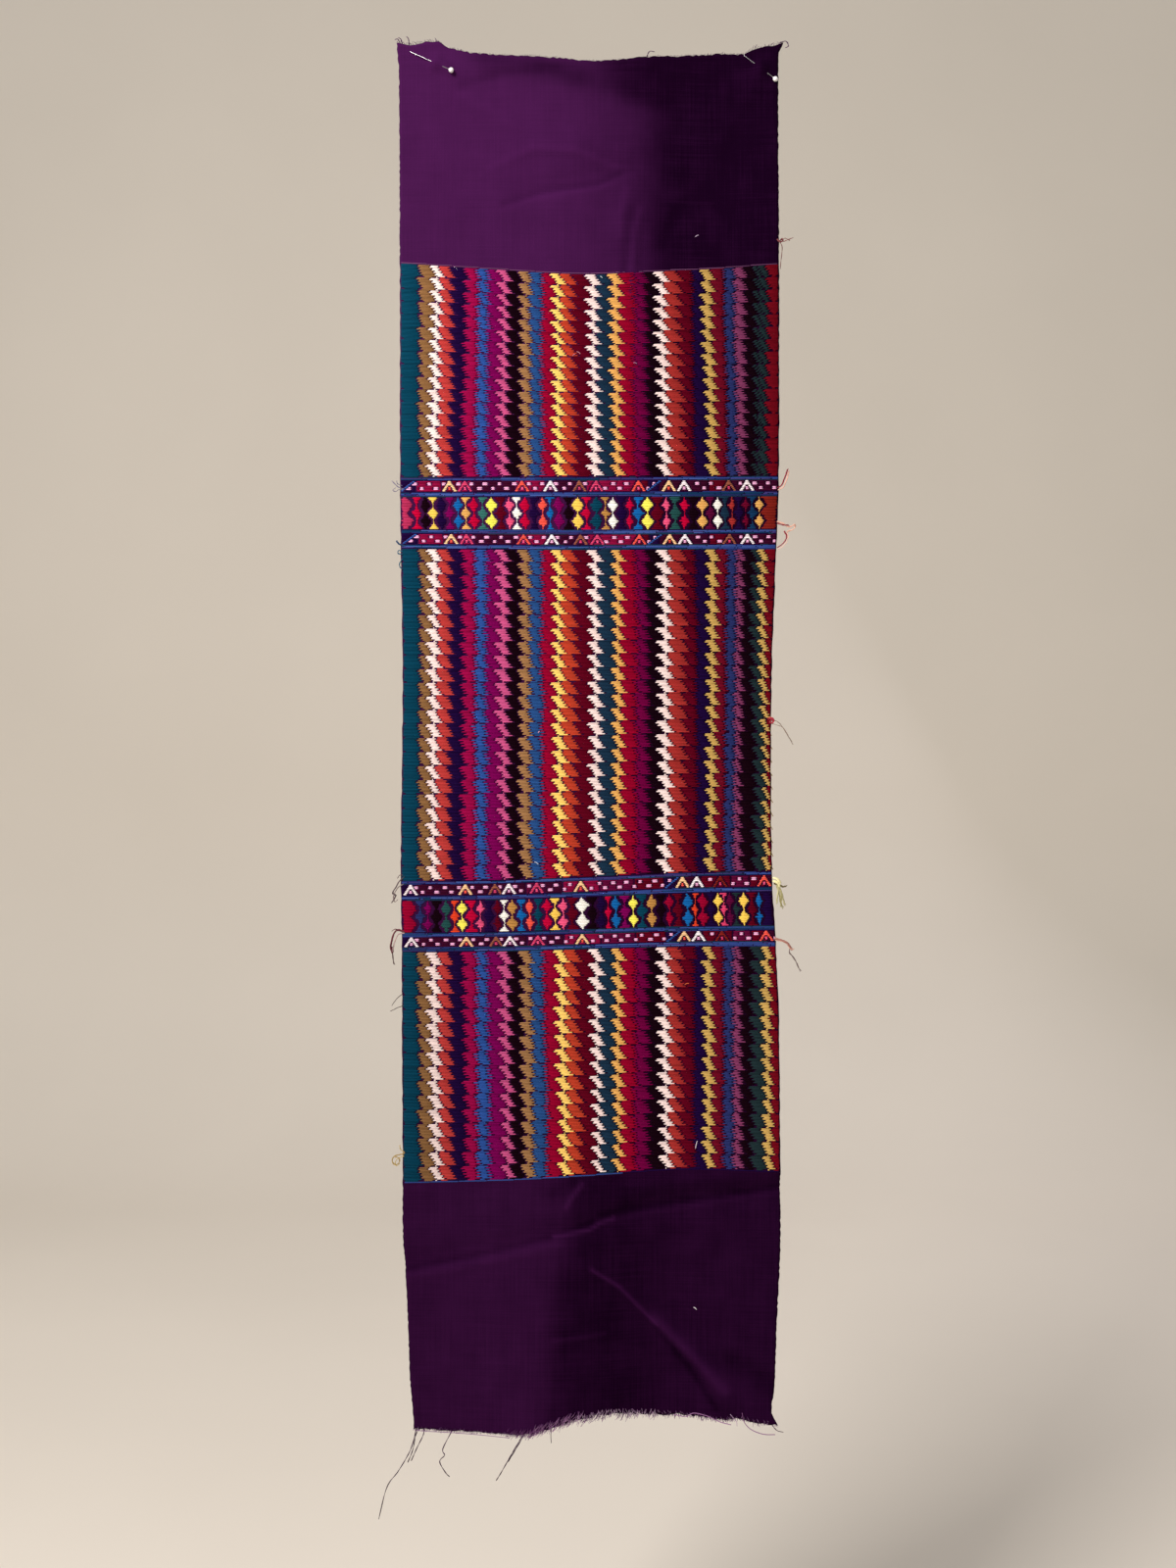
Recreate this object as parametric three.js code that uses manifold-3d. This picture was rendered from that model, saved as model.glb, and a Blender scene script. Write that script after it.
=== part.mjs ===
// A long panel of purple cotton cloth from a backstrap loom, hung by its two top corners on ball headed
// pins. Three brocaded fields and two banded borders stand a little proud of the plain ground, and both
// cut ends are frayed. Millimetres, +Z up. The front faces -Y, and the origin is the middle of the top edge.
import * as THREE from "three";
import { mergeVertices } from "three/addons/utils/BufferGeometryUtils.js";
import Module from "manifold-3d";

const wasm = await Module();
wasm.setup();

// Driving sizes
const clothThickness = 1.0; // plain ground, a little over the real yarns
const brocadeRise = 0.8; // how far the brocade stands in front of the ground
const narrowBandRise = 0.6;
const blueLineRise = 0.3; // plain weft lines between the bands
const stepWidth = 0.9; // half of the slope between two levels of the face
const pieceGap = 0.3; // between two pieces that touch in the real thing
const stripHeight = 1.4; // row of woven picks that holds the roots of a fringe
const yarnWidth = 0.9;
const frayWidth = 0.7;
const pinRadius = 0.35;
const pinHeadRadius = 2.2;
const pinHeadStand = 3.2; // pin's axis in front of the cloth's middle layer, at its head
const pinTipStand = 1.3; // and at its tip
const pinTuckHeight = 4.6; // cloth lifts this far where it passes over a pin
const pinTuckSpread = 6.5;
const pinZoneShare = 0.24; // part of the upper plain end with points close enough for the pins
const hemZoneShare = 0.72; // part of the lower plain end above the closer points of its hem
const cutterReach = 2; // a pin's clearance runs past its tip

const colours = {
  ground: 0x3f1149,
  endFray: 0x5a2a62,
  steel: 0xc9c8cc,
  pinHead: 0xf7f3f2,
  mauve: 0x8d6a74,
  red: 0xa8323e,
  greyBlue: 0x6f7a93,
  yellow: 0xd9bd66,
  beige: 0xc9b083,
};

// Cut ends of the cloth: height at each share of the width, left to right
const topEdgePoints = [
  [0, 17], [0.046, 15.4], [0.06, 17], [0.108, 17.4], [0.128, 12.8], [0.159, 10.2], [0.198, 7],
  [0.311, 4.3], [0.416, 2.4], [0.5, 0], [0.589, 1.3], [0.658, 3.6], [0.763, 5.3], [0.846, 8],
  [0.91, 8], [0.925, 11.4], [0.945, 13.6], [0.974, 14.6], [1, 17.5],
];
const hemPoints = [
  [0, -1186], [0.12, -1188.5], [0.225, -1191], [0.33, -1190.6], [0.39, -1184.6], [0.47, -1173.6],
  [0.545, -1169.8], [0.62, -1171], [0.72, -1173.4], [0.81, -1176], [0.86, -1178.5], [0.9, -1176.4],
  [0.94, -1179.5], [1, -1181],
];

// Weft lines across the cloth: heights at the left selvedge, the quarters and the right selvedge
const weftHeights = {
  brocadeStart: [-176.0, -181.5, -185.7, -181.6, -176.8],
  bandOneTop: [-361.4, -361.4, -361.3, -360.8, -360.2],
  bandOneBottom: [-423.7, -424.4, -424.8, -424.3, -423.9],
  bandTwoTop: [-711.5, -710.7, -707.9, -704.5, -702.8],
  bandTwoBottom: [-773.5, -772.7, -770.6, -768.6, -768.2],
  brocadeEnd: [-972.4, -969.8, -965.4, -960.6, -962.6],
};

// Selvedges: distance of each from the middle line at a height
const selvedges = [
  { height: 17, left: -167.2, right: 169.0 },
  { height: 9, left: -166.6, right: 165.4 },
  { height: -8, left: -165.2, right: 164.6 },
  { height: -176, left: -164.0, right: 164.9 },
  { height: -365, left: -163.8, right: 164.6 },
  { height: -425, left: -163.0, right: 162.4 },
  { height: -545, left: -161.6, right: 158.2 },
  { height: -700, left: -163.2, right: 158.6 },
  { height: -765, left: -162.4, right: 162.0 },
  { height: -840, left: -162.0, right: 164.9 },
  { height: -965, left: -161.5, right: 165.8 },
  { height: -1020, left: -161.2, right: 166.0 },
  { height: -1050, left: -159.0, right: 164.9 },
  { height: -1100, left: -156.7, right: 162.2 },
  { height: -1145, left: -155.0, right: 160.8 },
  { height: -1170, left: -152.6, right: 158.0 },
  { height: -1181, left: -151.8, right: 163.2 },
];

// Levels of one banded border: share of its height, and how proud it stands
const bandStripes = [
  { name: "blue line", share: 0.055, rise: blueLineRise },
  { name: "upper dotted band", share: 0.15, rise: narrowBandRise },
  { name: "blue line", share: 0.05, rise: blueLineRise },
  { name: "diamond band", share: 0.485, rise: brocadeRise },
  { name: "blue line", share: 0.045, rise: blueLineRise },
  { name: "lower dotted band", share: 0.155, rise: narrowBandRise },
  { name: "blue line", share: 0.06, rise: blueLineRise },
];

// Folds: ridges with heights above 0 and troughs below it. Each path point is x, z and its height, and the
// spread is how far to each side the fold still shows.
const folds = [
  { name: "left corner pinned back", spread: 60, path: [[-172, 20, -4], [-168, -60, -2], [-166, -140, 0]] },
  { name: "right corner pinned back", spread: 60, path: [[172, 20, -4], [168, -60, -3], [166, -160, 0]] },
  { name: "fold from left pin", spread: 9, path: [[-118, -9, 2.2], [-60, -4, 1.8], [-15, 1, 0]] },
  { name: "fold from right pin", spread: 14, path: [[150, -10, 1.8], [96, -42, 0.6]] },
  {
    name: "upper pocket ridge", spread: 11,
    path: [[-85, -82, 0], [-45, -74, 2.6], [-10, -74, 2.4], [38, -82, 0]],
  },
  {
    name: "upper pocket trough", spread: 10,
    path: [[-72, -117, 0], [-40, -110, -2.4], [10, -99, -2.2], [45, -96, 0]],
  },
  {
    name: "upper upright fold", spread: 11,
    path: [[42, -90, 0], [34, -130, 2.2], [30, -190, 1.4], [30, -240, 0]],
  },
  {
    name: "upper right hollow", spread: 42,
    path: [[112, -20, -5], [100, -110, -6], [110, -200, -2], [112, -280, 0]],
  },
  { name: "belly of first field", spread: 80, path: [[-40, -230, 0], [-30, -330, 3], [-20, -480, 0]] },
  { name: "belly of second field", spread: 70, path: [[60, -480, 0], [50, -600, 3.4], [40, -700, 0]] },
  { name: "belly of third field", spread: 80, path: [[-60, -760, 0], [-60, -880, 3.6], [-40, -965, 2]] },
  { name: "lower ridge", spread: 60, path: [[-30, -965, 1], [-36, -1080, 6], [-40, -1200, 11]] },
  { name: "lower hollow", spread: 44, path: [[60, -975, -1], [68, -1080, -6], [72, -1200, -10]] },
  { name: "lower right edge", spread: 34, path: [[166, -1010, 0], [162, -1100, 3], [164, -1200, 6]] },
  {
    name: "slanting trough", spread: 10,
    path: [[-168, -1044, -1.4], [-80, -1026, -2], [4, -1008, -3], [52, -993, -4.2], [170, -978, -3.6]],
  },
  { name: "ridge over the trough", spread: 9, path: [[10, -986, 0], [60, -974, 2], [168, -962, 1.6]] },
  {
    name: "slanting crease", spread: 8,
    path: [[-2, -1045, 1.2], [28, -1064, 3], [69, -1101, 3.6], [98, -1132, 3.4], [120, -1166, 2.4]],
  },
];

// Pins: head and tip, and where the cloth passes over the shank
const pins = [
  { name: "pin_left", head: [-119.2, -7.8], tip: [-156.0, 8.0], tuck: [-132.6, -2] },
  { name: "pin_right", head: [161.8, -15.5], tip: [134.0, 6.8], tuck: [149.4, -5.6] },
];

// Shares of the width where each part of the cloth has its points
const pinColumns = [
  0, 0.03, 0.046, 0.06, 0.075, 0.09, 0.105, 0.12, 0.135, 0.159, 0.198, 0.25, 0.311, 0.37, 0.43, 0.5,
  0.56, 0.62, 0.69, 0.763, 0.82, 0.86, 0.895, 0.912, 0.925, 0.94, 0.955, 0.97, 0.985, 1,
];
const hemColumns = evenShares(32);
const plainColumns = evenShares(18);
const brocadeColumns = evenShares(11);

function evenShares(count) {
  return Array.from({ length: count + 1 }, (_, i) => i / count);
}

function mix(a, b, share) {
  return a + (b - a) * share;
}

// Smooth curve through [place, value] points, straight past its ends.
function curveThrough(points) {
  const slope = (i) => {
    const before = points[Math.max(i - 1, 0)];
    const after = points[Math.min(i + 1, points.length - 1)];
    return (after[1] - before[1]) / (after[0] - before[0]);
  };
  return (place) => {
    let i = points.findIndex((p) => p[0] >= place);
    if (i < 0) i = points.length;
    i = Math.min(Math.max(i, 1), points.length - 1);
    const [start, startValue] = points[i - 1];
    const [end, endValue] = points[i];
    const step = end - start;
    const t = Math.min(Math.max((place - start) / step, 0), 1);
    const bend = t * (1 - t) * step;
    const ease = t * t * (3 - 2 * t);
    return mix(startValue, endValue, ease) + bend * ((1 - t) * slope(i - 1) - t * slope(i));
  };
}

const weftLine = (heights) => curveThrough(heights.map((h, i) => [i / (heights.length - 1), h]));
const lineBetween = (upper, lower, share) => (u) => mix(upper(u), lower(u), share);
const rising = [...selvedges].reverse();
const leftSelvedge = curveThrough(rising.map((row) => [row.height, row.left]));
const rightSelvedge = curveThrough(rising.map((row) => [row.height, row.right]));
const topEdge = curveThrough(topEdgePoints);
const hem = curveThrough(hemPoints);
const lines = Object.fromEntries(
  Object.entries(weftHeights).map(([name, heights]) => [name, weftLine(heights)]),
);

// Distance from a point to a fold's path, and the fold's height where it is nearest.
function nearestOnPath(path, x, z) {
  let nearest = { distance: Infinity, height: 0 };
  for (let i = 1; i < path.length; i++) {
    const [ax, az, aHeight] = path[i - 1];
    const [bx, bz, bHeight] = path[i];
    const along = ((x - ax) * (bx - ax) + (z - az) * (bz - az)) / ((bx - ax) ** 2 + (bz - az) ** 2);
    const t = Math.min(Math.max(along, 0), 1);
    const distance = Math.hypot(x - mix(ax, bx, t), z - mix(az, bz, t));
    if (distance < nearest.distance) nearest = { distance, height: mix(aHeight, bHeight, t) };
  }
  return nearest;
}

// How far the cloth's middle layer stands in front of the hanging plane.
function forwardAt(x, z) {
  let forward = 0;
  for (const fold of folds) {
    const { distance, height } = nearestOnPath(fold.path, x, z);
    forward += height * Math.exp(-((distance / fold.spread) ** 2));
  }
  for (const pin of pins) {
    const distance = Math.hypot(x - pin.tuck[0], z - pin.tuck[1]);
    forward += pinTuckHeight * Math.exp(-((distance / pinTuckSpread) ** 2));
  }
  return forward;
}

function clothPoint(line, u) {
  const z = line(u);
  const x = mix(leftSelvedge(z), rightSelvedge(z), u);
  return { x, z, forward: forwardAt(x, z) };
}

function toSolid(geometry) {
  const bare = new THREE.BufferGeometry();
  bare.setAttribute("position", geometry.getAttribute("position"));
  bare.setIndex(geometry.index);
  const merged = mergeVertices(bare, 1e-4);
  return new wasm.Manifold(
    new wasm.Mesh({
      numProp: 3,
      vertProperties: merged.getAttribute("position").array,
      triVerts: new Uint32Array(merged.index.array),
    }),
  );
}

function toMesh(solid, name, colour, roughness, metalness) {
  const { vertProperties, triVerts } = solid.getMesh();
  const geometry = new THREE.BufferGeometry();
  geometry.setAttribute("position", new THREE.BufferAttribute(vertProperties, 3));
  geometry.setIndex(new THREE.BufferAttribute(triVerts, 1));
  geometry.computeVertexNormals();
  const material = new THREE.MeshStandardMaterial({ color: colour, roughness, metalness });
  const mesh = new THREE.Mesh(geometry, material);
  mesh.name = name;
  return mesh;
}

// Closed sheet from rows that run from the left to the right and follow each other downwards. A row has
// its line, its columns and its rise, and two rows need not have the same number of columns.
function sheetSolid(rows) {
  const front = [];
  const back = [];
  const starts = [];
  for (const { line, columns, rise } of rows) {
    starts.push(front.length);
    for (const u of columns) {
      const { x, z, forward } = clothPoint(line, u);
      front.push([x, -forward - clothThickness / 2 - rise, z]);
      back.push([x, -forward + clothThickness / 2, z]);
    }
  }
  const count = front.length;
  const faces = [];
  const addBoth = (a, b, c) => faces.push([a, b, c], [a + count, c + count, b + count]);
  const addRim = (a, b) => faces.push([a, b, a + count], [b, b + count, a + count]);
  for (let r = 1; r < rows.length; r++) {
    const above = rows[r - 1].columns;
    const below = rows[r].columns;
    let i = 0;
    let j = 0;
    while (i < above.length - 1 || j < below.length - 1) {
      const a = starts[r - 1] + i;
      const b = starts[r] + j;
      const nextAbove = i < above.length - 1 ? above[i + 1] : Infinity;
      const nextBelow = j < below.length - 1 ? below[j + 1] : Infinity;
      if (nextBelow <= nextAbove) {
        addBoth(a, b, b + 1);
        j++;
      } else {
        addBoth(a, b, a + 1);
        i++;
      }
    }
    addRim(starts[r], starts[r - 1]);
    addRim(starts[r - 1] + above.length - 1, starts[r] + below.length - 1);
  }
  const last = starts.length - 1;
  for (let i = 1; i < rows[0].columns.length; i++) addRim(i - 1, i);
  for (let i = 1; i < rows[last].columns.length; i++) addRim(starts[last] + i, starts[last] + i - 1);
  const geometry = new THREE.BufferGeometry();
  geometry.setAttribute("position", new THREE.Float32BufferAttribute([...front, ...back].flat(), 3));
  geometry.setIndex(faces.flat());
  return toSolid(geometry);
}

// Rows of one stripe between two weft lines, kept clear of both so that levels meet on a short slope.
function stripeRows(upper, lower, { rise, steps, columns, first = stepWidth, last = stepWidth }) {
  const height = upper(0.5) - lower(0.5);
  const start = first / height;
  const end = 1 - last / height;
  return evenShares(steps).map((share) => ({
    line: lineBetween(upper, lower, mix(start, end, share)),
    columns,
    rise,
  }));
}

function borderRows(upper, lower) {
  let share = 0;
  return bandStripes.flatMap((stripe) => {
    const start = lineBetween(upper, lower, share);
    share += stripe.share;
    const end = lineBetween(upper, lower, share);
    return stripeRows(start, end, { rise: stripe.rise, steps: 1, columns: brocadeColumns });
  });
}

function clothPanel() {
  const underPins = lineBetween(topEdge, lines.brocadeStart, pinZoneShare);
  const aboveHem = lineBetween(lines.brocadeEnd, hem, hemZoneShare);
  const field = (upper, lower, steps) =>
    stripeRows(upper, lower, { rise: brocadeRise, steps, columns: brocadeColumns });
  const rows = [
    ...stripeRows(topEdge, underPins, { rise: 0, steps: 9, columns: pinColumns, first: 0 }),
    ...stripeRows(underPins, lines.brocadeStart, { rise: 0, steps: 13, columns: plainColumns }),
    ...field(lines.brocadeStart, lines.bandOneTop, 7),
    ...borderRows(lines.bandOneTop, lines.bandOneBottom),
    ...field(lines.bandOneBottom, lines.bandTwoTop, 10),
    ...borderRows(lines.bandTwoTop, lines.bandTwoBottom),
    ...field(lines.bandTwoBottom, lines.brocadeEnd, 7),
    ...stripeRows(lines.brocadeEnd, aboveHem, { rise: 0, steps: 14, columns: plainColumns }),
    ...stripeRows(aboveHem, hem, { rise: 0, steps: 5, columns: hemColumns, last: 0 }),
  ];
  const cutters = pins.map((pin) => shankSolid(pin, pinRadius + pieceGap, 8, cutterReach));
  return cutters.reduce((panel, cutter) => panel.subtract(cutter), sheetSolid(rows));
}

// Pin axis in space: its head and tip stand clear of the cloth there.
function pinAxis(pin) {
  const stand = ([x, z], clearance) => {
    const tuck = Math.hypot(x - pin.tuck[0], z - pin.tuck[1]);
    const own = pinTuckHeight * Math.exp(-((tuck / pinTuckSpread) ** 2));
    return new THREE.Vector3(x, -(forwardAt(x, z) - own) - clearance, z);
  };
  return [stand(pin.head, pinHeadStand), stand(pin.tip, pinTipStand)];
}

function shankSolid(pin, radius, sides, extra) {
  const [head, tip] = pinAxis(pin);
  const axis = new THREE.Vector3().subVectors(tip, head);
  const length = axis.length() + extra;
  const profile = [
    new THREE.Vector2(0, 0),
    new THREE.Vector2(radius, 0),
    new THREE.Vector2(radius, length - 4 * radius),
    new THREE.Vector2(0, length),
  ];
  const geometry = new THREE.LatheGeometry(profile, sides);
  geometry.applyQuaternion(
    new THREE.Quaternion().setFromUnitVectors(new THREE.Vector3(0, 1, 0), axis.normalize()),
  );
  geometry.translate(head.x, head.y, head.z);
  return toSolid(geometry);
}

function ballSolid(pin, radius, around, upwards) {
  const geometry = new THREE.SphereGeometry(radius, around, upwards);
  const [head] = pinAxis(pin);
  geometry.translate(head.x, head.y, head.z);
  return toSolid(geometry);
}

// Yarn with three sides along a smooth path.
function yarnSolid(points, width, steps) {
  const corners = [0, 1, 2].map((i) => {
    const angle = (i * 2 * Math.PI) / 3;
    return new THREE.Vector2((Math.cos(angle) * width) / 2, (Math.sin(angle) * width) / 2);
  });
  const path = points.length === 2 ? new THREE.LineCurve3(...points) : new THREE.CatmullRomCurve3(points);
  const geometry = new THREE.ExtrudeGeometry(new THREE.Shape(corners), {
    steps,
    extrudePath: path,
    bevelEnabled: false,
  });
  return toSolid(geometry);
}

// The same scatter every time.
function scatter(seed) {
  let state = seed;
  return (low, high) => {
    state = (state * 1664525 + 1013904223) % 4294967296;
    return mix(low, high, state / 4294967296);
  };
}

// Row of frayed yarns on a narrow strip just past a cut end. Way is 1 upwards and -1 downwards.
function frayedEnd(edge, way, { count, shortest, longest, lean, seed }, longThreads) {
  const random = scatter(seed);
  const inner = (u) => edge(u) + way * pieceGap;
  const outer = (u) => edge(u) + way * (pieceGap + stripHeight);
  const columns = way > 0 ? pinColumns : hemColumns;
  const strip = [
    { line: way > 0 ? outer : inner, columns, rise: 0 },
    { line: way > 0 ? inner : outer, columns, rise: 0 },
  ];
  const root = (u) => {
    const { x, z, forward } = clothPoint((s) => edge(s) + way * (pieceGap + stripHeight / 2), u);
    return new THREE.Vector3(x, -forward, z);
  };
  const yarns = [];
  for (let i = 0; i < count; i++) {
    const u = Math.min(Math.max((i + 0.5 + random(-0.4, 0.4)) / count, 0.004), 0.996);
    const start = root(u);
    const length = random(shortest, longest) * random(0.5, 1);
    const sideways = random(-lean, lean) * length;
    const end = start.clone().add(
      new THREE.Vector3(sideways, random(-0.35, 0.15) * length, way * (length + stripHeight / 2)),
    );
    yarns.push(yarnSolid([start, end], frayWidth, 1));
  }
  for (const { at, path } of longThreads) {
    const start = root(at);
    const points = path.map(([x, z, y]) => new THREE.Vector3(start.x + x, start.y + y, start.z + z));
    yarns.push(yarnSolid([start, ...points], yarnWidth, 3 * points.length));
  }
  return yarns.reduce((solid, yarn) => solid.add(yarn), sheetSolid(strip));
}

// Longer threads on the ends: place along the end, and path from the root as x, z and y steps
const hemThreads = [
  { at: 0.014, path: [[-3, -17, -1], [-9, -35, -3], [-22, -51, -5], [-34, -76, -4]] },
  { at: 0.028, path: [[-2, -10, -1], [-6, -20, -2], [-11, -34, -2]] },
  { at: 0.04, path: [[0, -8, 1], [-4, -22, -1]] },
  { at: 0.118, path: [[-4, -12, -1], [-5, -24, -2], [-1, -36, -1]] },
  { at: 0.3, path: [[-7, -14, -2], [-12, -24, -3], [-19, -36, -2]] },
  { at: 0.31, path: [[-4, -7, 0], [-9, -15, -1]] },
  { at: 0.985, path: [[4, -4, -1], [9, -5, -2]] },
];
const topThreads = [
  { at: 0.008, path: [[-2, 3, 0], [-4, 2, -1]] },
  { at: 0.032, path: [[-0.5, 4, 0], [-2, 6.5, -1]] },
  { at: 0.655, path: [[2, 3.4, -1], [6, 3, -1]] },
  { at: 0.992, path: [[4, 2.6, 0], [8, 0, -1], [6, -4, -1]] },
];

// Loose ends of brocade yarn at the selvedges. Side is -1 on the left and 1 on the right, height is the
// root's, and each strand has its reach outwards, its rise and how far it bows outwards between.
const looseEnds = [
  { name: "loose_end_right_1", side: 1, height: -154, colour: "red", strands: [[12, 0.6, 1], [5, -26, 3]] },
  { name: "loose_end_right_2", side: 1, height: -372, colour: "red", strands: [[8, 17, -1], [5, 8, 2]] },
  {
    name: "loose_end_right_3", side: 1, height: -403, colour: "red",
    strands: [[15, -2, 2], [14, -6, 1], [8, 11, 1]],
  },
  {
    name: "loose_end_right_4", side: 1, height: -578, colour: "red",
    strands: [[10, 6, 2], [8, -7, 3], [5, -14, 3]],
  },
  {
    name: "loose_end_right_5", side: 1, height: -711, colour: "yellow",
    strands: [[9, -9, 3], [7, -25, 4], [9, -27, 3], [5, -23, 3], [11, -20, 3], [8, -16, 5]],
  },
  {
    name: "loose_end_right_6", side: 1, height: -763, colour: "mauve",
    strands: [[21, -25, 5], [11, -3, 2], [14, -14, 3]],
  },
  {
    name: "loose_end_left_1", side: -1, height: -364, colour: "greyBlue",
    strands: [[8, 5, 1], [7, -8, 3], [4, -14, 2]],
  },
  {
    name: "loose_end_left_2", side: -1, height: -420, colour: "greyBlue",
    strands: [[6, 6, 1], [7, -9, 2], [4, -20, 2]],
  },
  {
    name: "loose_end_left_3", side: -1, height: -712, colour: "mauve",
    strands: [[9, 2, 1], [9, -14, 3], [7, -22, 3], [4, -26, 2]],
  },
  {
    name: "loose_end_left_4", side: -1, height: -762, colour: "red",
    strands: [[10, -2, 2], [9, -16, 5], [6, -25, 4]],
  },
  { name: "loose_end_left_5", side: -1, height: -818, colour: "mauve", strands: [[6, -3, 1], [4, -10, 2]] },
  {
    name: "loose_end_left_6", side: -1, height: -942, colour: "beige",
    strands: [[7, -7, 4], [5, -15, 5], [2.5, -19, 3]],
  },
];
const rootLength = 5;

function looseEndSolid({ side, height, strands }) {
  const width = rightSelvedge(height) - leftSelvedge(height);
  const near = pieceGap / width;
  const far = (pieceGap + stripHeight) / width;
  const columns = side > 0 ? [1 + near, 1 + far] : [-far, -near];
  const rows = [1, -1].map((way) => ({
    line: () => height + (way * rootLength) / 2,
    columns,
    rise: 0,
  }));
  const edge = clothPoint(() => height, side > 0 ? 1 : 0);
  const rootX = edge.x + side * (pieceGap + stripHeight / 2);
  const yarns = strands.map(([reach, rise, bow], i) => {
    const share = strands.length > 1 ? i / (strands.length - 1) - 0.5 : 0;
    const rootZ = height - share * (rootLength - 2 * yarnWidth);
    const at = (x, y, z) => new THREE.Vector3(rootX + side * x, -edge.forward + y, rootZ + z);
    return yarnSolid(
      [at(0, 0, 0), at(reach * 0.35 + bow, -0.8, rise * 0.35), at(reach * 0.8 + bow, -1.4, rise * 0.75),
        at(reach, -1, rise)],
      yarnWidth, 6,
    );
  });
  return yarns.reduce((solid, yarn) => solid.add(yarn), sheetSolid(rows));
}

const hangingPanel = new THREE.Group();
hangingPanel.add(toMesh(clothPanel(), "cloth_panel", colours.ground, 0.85, 0));

const topFray = { count: 56, shortest: 1.2, longest: 3, lean: 0.6, seed: 11 };
const hemFray = { count: 130, shortest: 3, longest: 9, lean: 0.45, seed: 23 };
const topFringe = frayedEnd(topEdge, 1, topFray, topThreads);
const hemFringe = frayedEnd(hem, -1, hemFray, hemThreads);
hangingPanel.add(toMesh(topFringe, "top_fray", colours.endFray, 0.9, 0));
hangingPanel.add(toMesh(hemFringe, "hem_fringe", colours.endFray, 0.9, 0));

for (const loose of looseEnds) {
  hangingPanel.add(toMesh(looseEndSolid(loose), loose.name, colours[loose.colour], 0.9, 0));
}

for (const pin of pins) {
  const clearance = ballSolid(pin, pinHeadRadius + pieceGap, 12, 8);
  const shank = shankSolid(pin, pinRadius, 8, 0).subtract(clearance);
  hangingPanel.add(toMesh(shank, pin.name + "_shank", colours.steel, 0.25, 1));
  hangingPanel.add(toMesh(ballSolid(pin, pinHeadRadius, 12, 8), pin.name + "_head", colours.pinHead, 0.2, 0));
}

export default hangingPanel;
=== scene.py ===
import bpy
import numpy as np
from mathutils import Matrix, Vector


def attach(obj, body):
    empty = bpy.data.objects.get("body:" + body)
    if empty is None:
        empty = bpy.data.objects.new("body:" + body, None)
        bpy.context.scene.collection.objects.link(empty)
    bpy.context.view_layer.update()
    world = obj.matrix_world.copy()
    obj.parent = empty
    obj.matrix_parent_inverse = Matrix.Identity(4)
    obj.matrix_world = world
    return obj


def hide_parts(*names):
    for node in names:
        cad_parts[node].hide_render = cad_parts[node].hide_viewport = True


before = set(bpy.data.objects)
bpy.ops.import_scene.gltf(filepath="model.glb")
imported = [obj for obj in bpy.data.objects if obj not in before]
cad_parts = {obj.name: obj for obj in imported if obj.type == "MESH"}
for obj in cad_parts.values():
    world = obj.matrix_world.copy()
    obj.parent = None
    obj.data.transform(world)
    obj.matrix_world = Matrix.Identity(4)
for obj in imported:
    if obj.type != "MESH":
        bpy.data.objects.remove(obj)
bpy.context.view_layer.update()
scene = bpy.context.scene
mm = 0.001

# Camera in front of the middle of the panel. The view is 1.36 m high where the cloth hangs.
camera = {"distance": 1.4, "aim": (-0.00085, 0.0, -0.6273), "viewHeight": 1.36, "filmHeight": 36}
cameraData = bpy.data.cameras.new("camera")
cameraData.sensor_width = camera["filmHeight"]
cameraData.lens = camera["filmHeight"] * camera["distance"] / camera["viewHeight"]
cameraObject = bpy.data.objects.new("camera", cameraData)
cameraObject.location = Vector(camera["aim"]) - Vector((0, camera["distance"], 0))
cameraObject.rotation_euler = (np.pi / 2, 0, 0)
scene.collection.objects.link(cameraObject)
scene.camera = cameraObject
scene.view_settings.view_transform = "Standard"


def toLinear(hexColour):
    parts = [int(hexColour[i:i + 2], 16) / 255 for i in (1, 3, 5)]
    return [p / 12.92 if p <= 0.04045 else ((p + 0.055) / 1.055) ** 2.4 for p in parts] + [1.0]


# Adds a shader node with its settings and links.
def addNode(tree, kind, settings=None, links=None):
    node = tree.nodes.new("ShaderNode" + kind)
    for name, value in (settings or {}).items():
        if isinstance(name, str) and name in node.bl_rna.properties:
            setattr(node, name, value)
        else:
            node.inputs[name].default_value = value
    for name, socket in (links or {}).items():
        tree.links.new(socket, node.inputs[name])
    return node


def newMaterial(name, finish):
    material = bpy.data.materials.new(name)
    material.use_nodes = True
    tree = material.node_tree
    tree.nodes.clear()
    shader = addNode(tree, "BsdfPrincipled", finish)
    addNode(tree, "OutputMaterial", links={"Surface": shader.outputs["BSDF"]})
    return material, tree, shader


# Scale that stretches a pattern so that one unit is the given number of millimetres across, deep and along.
def grainScale(*sizes):
    return [1 / (size * mm) for size in sizes]


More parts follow.
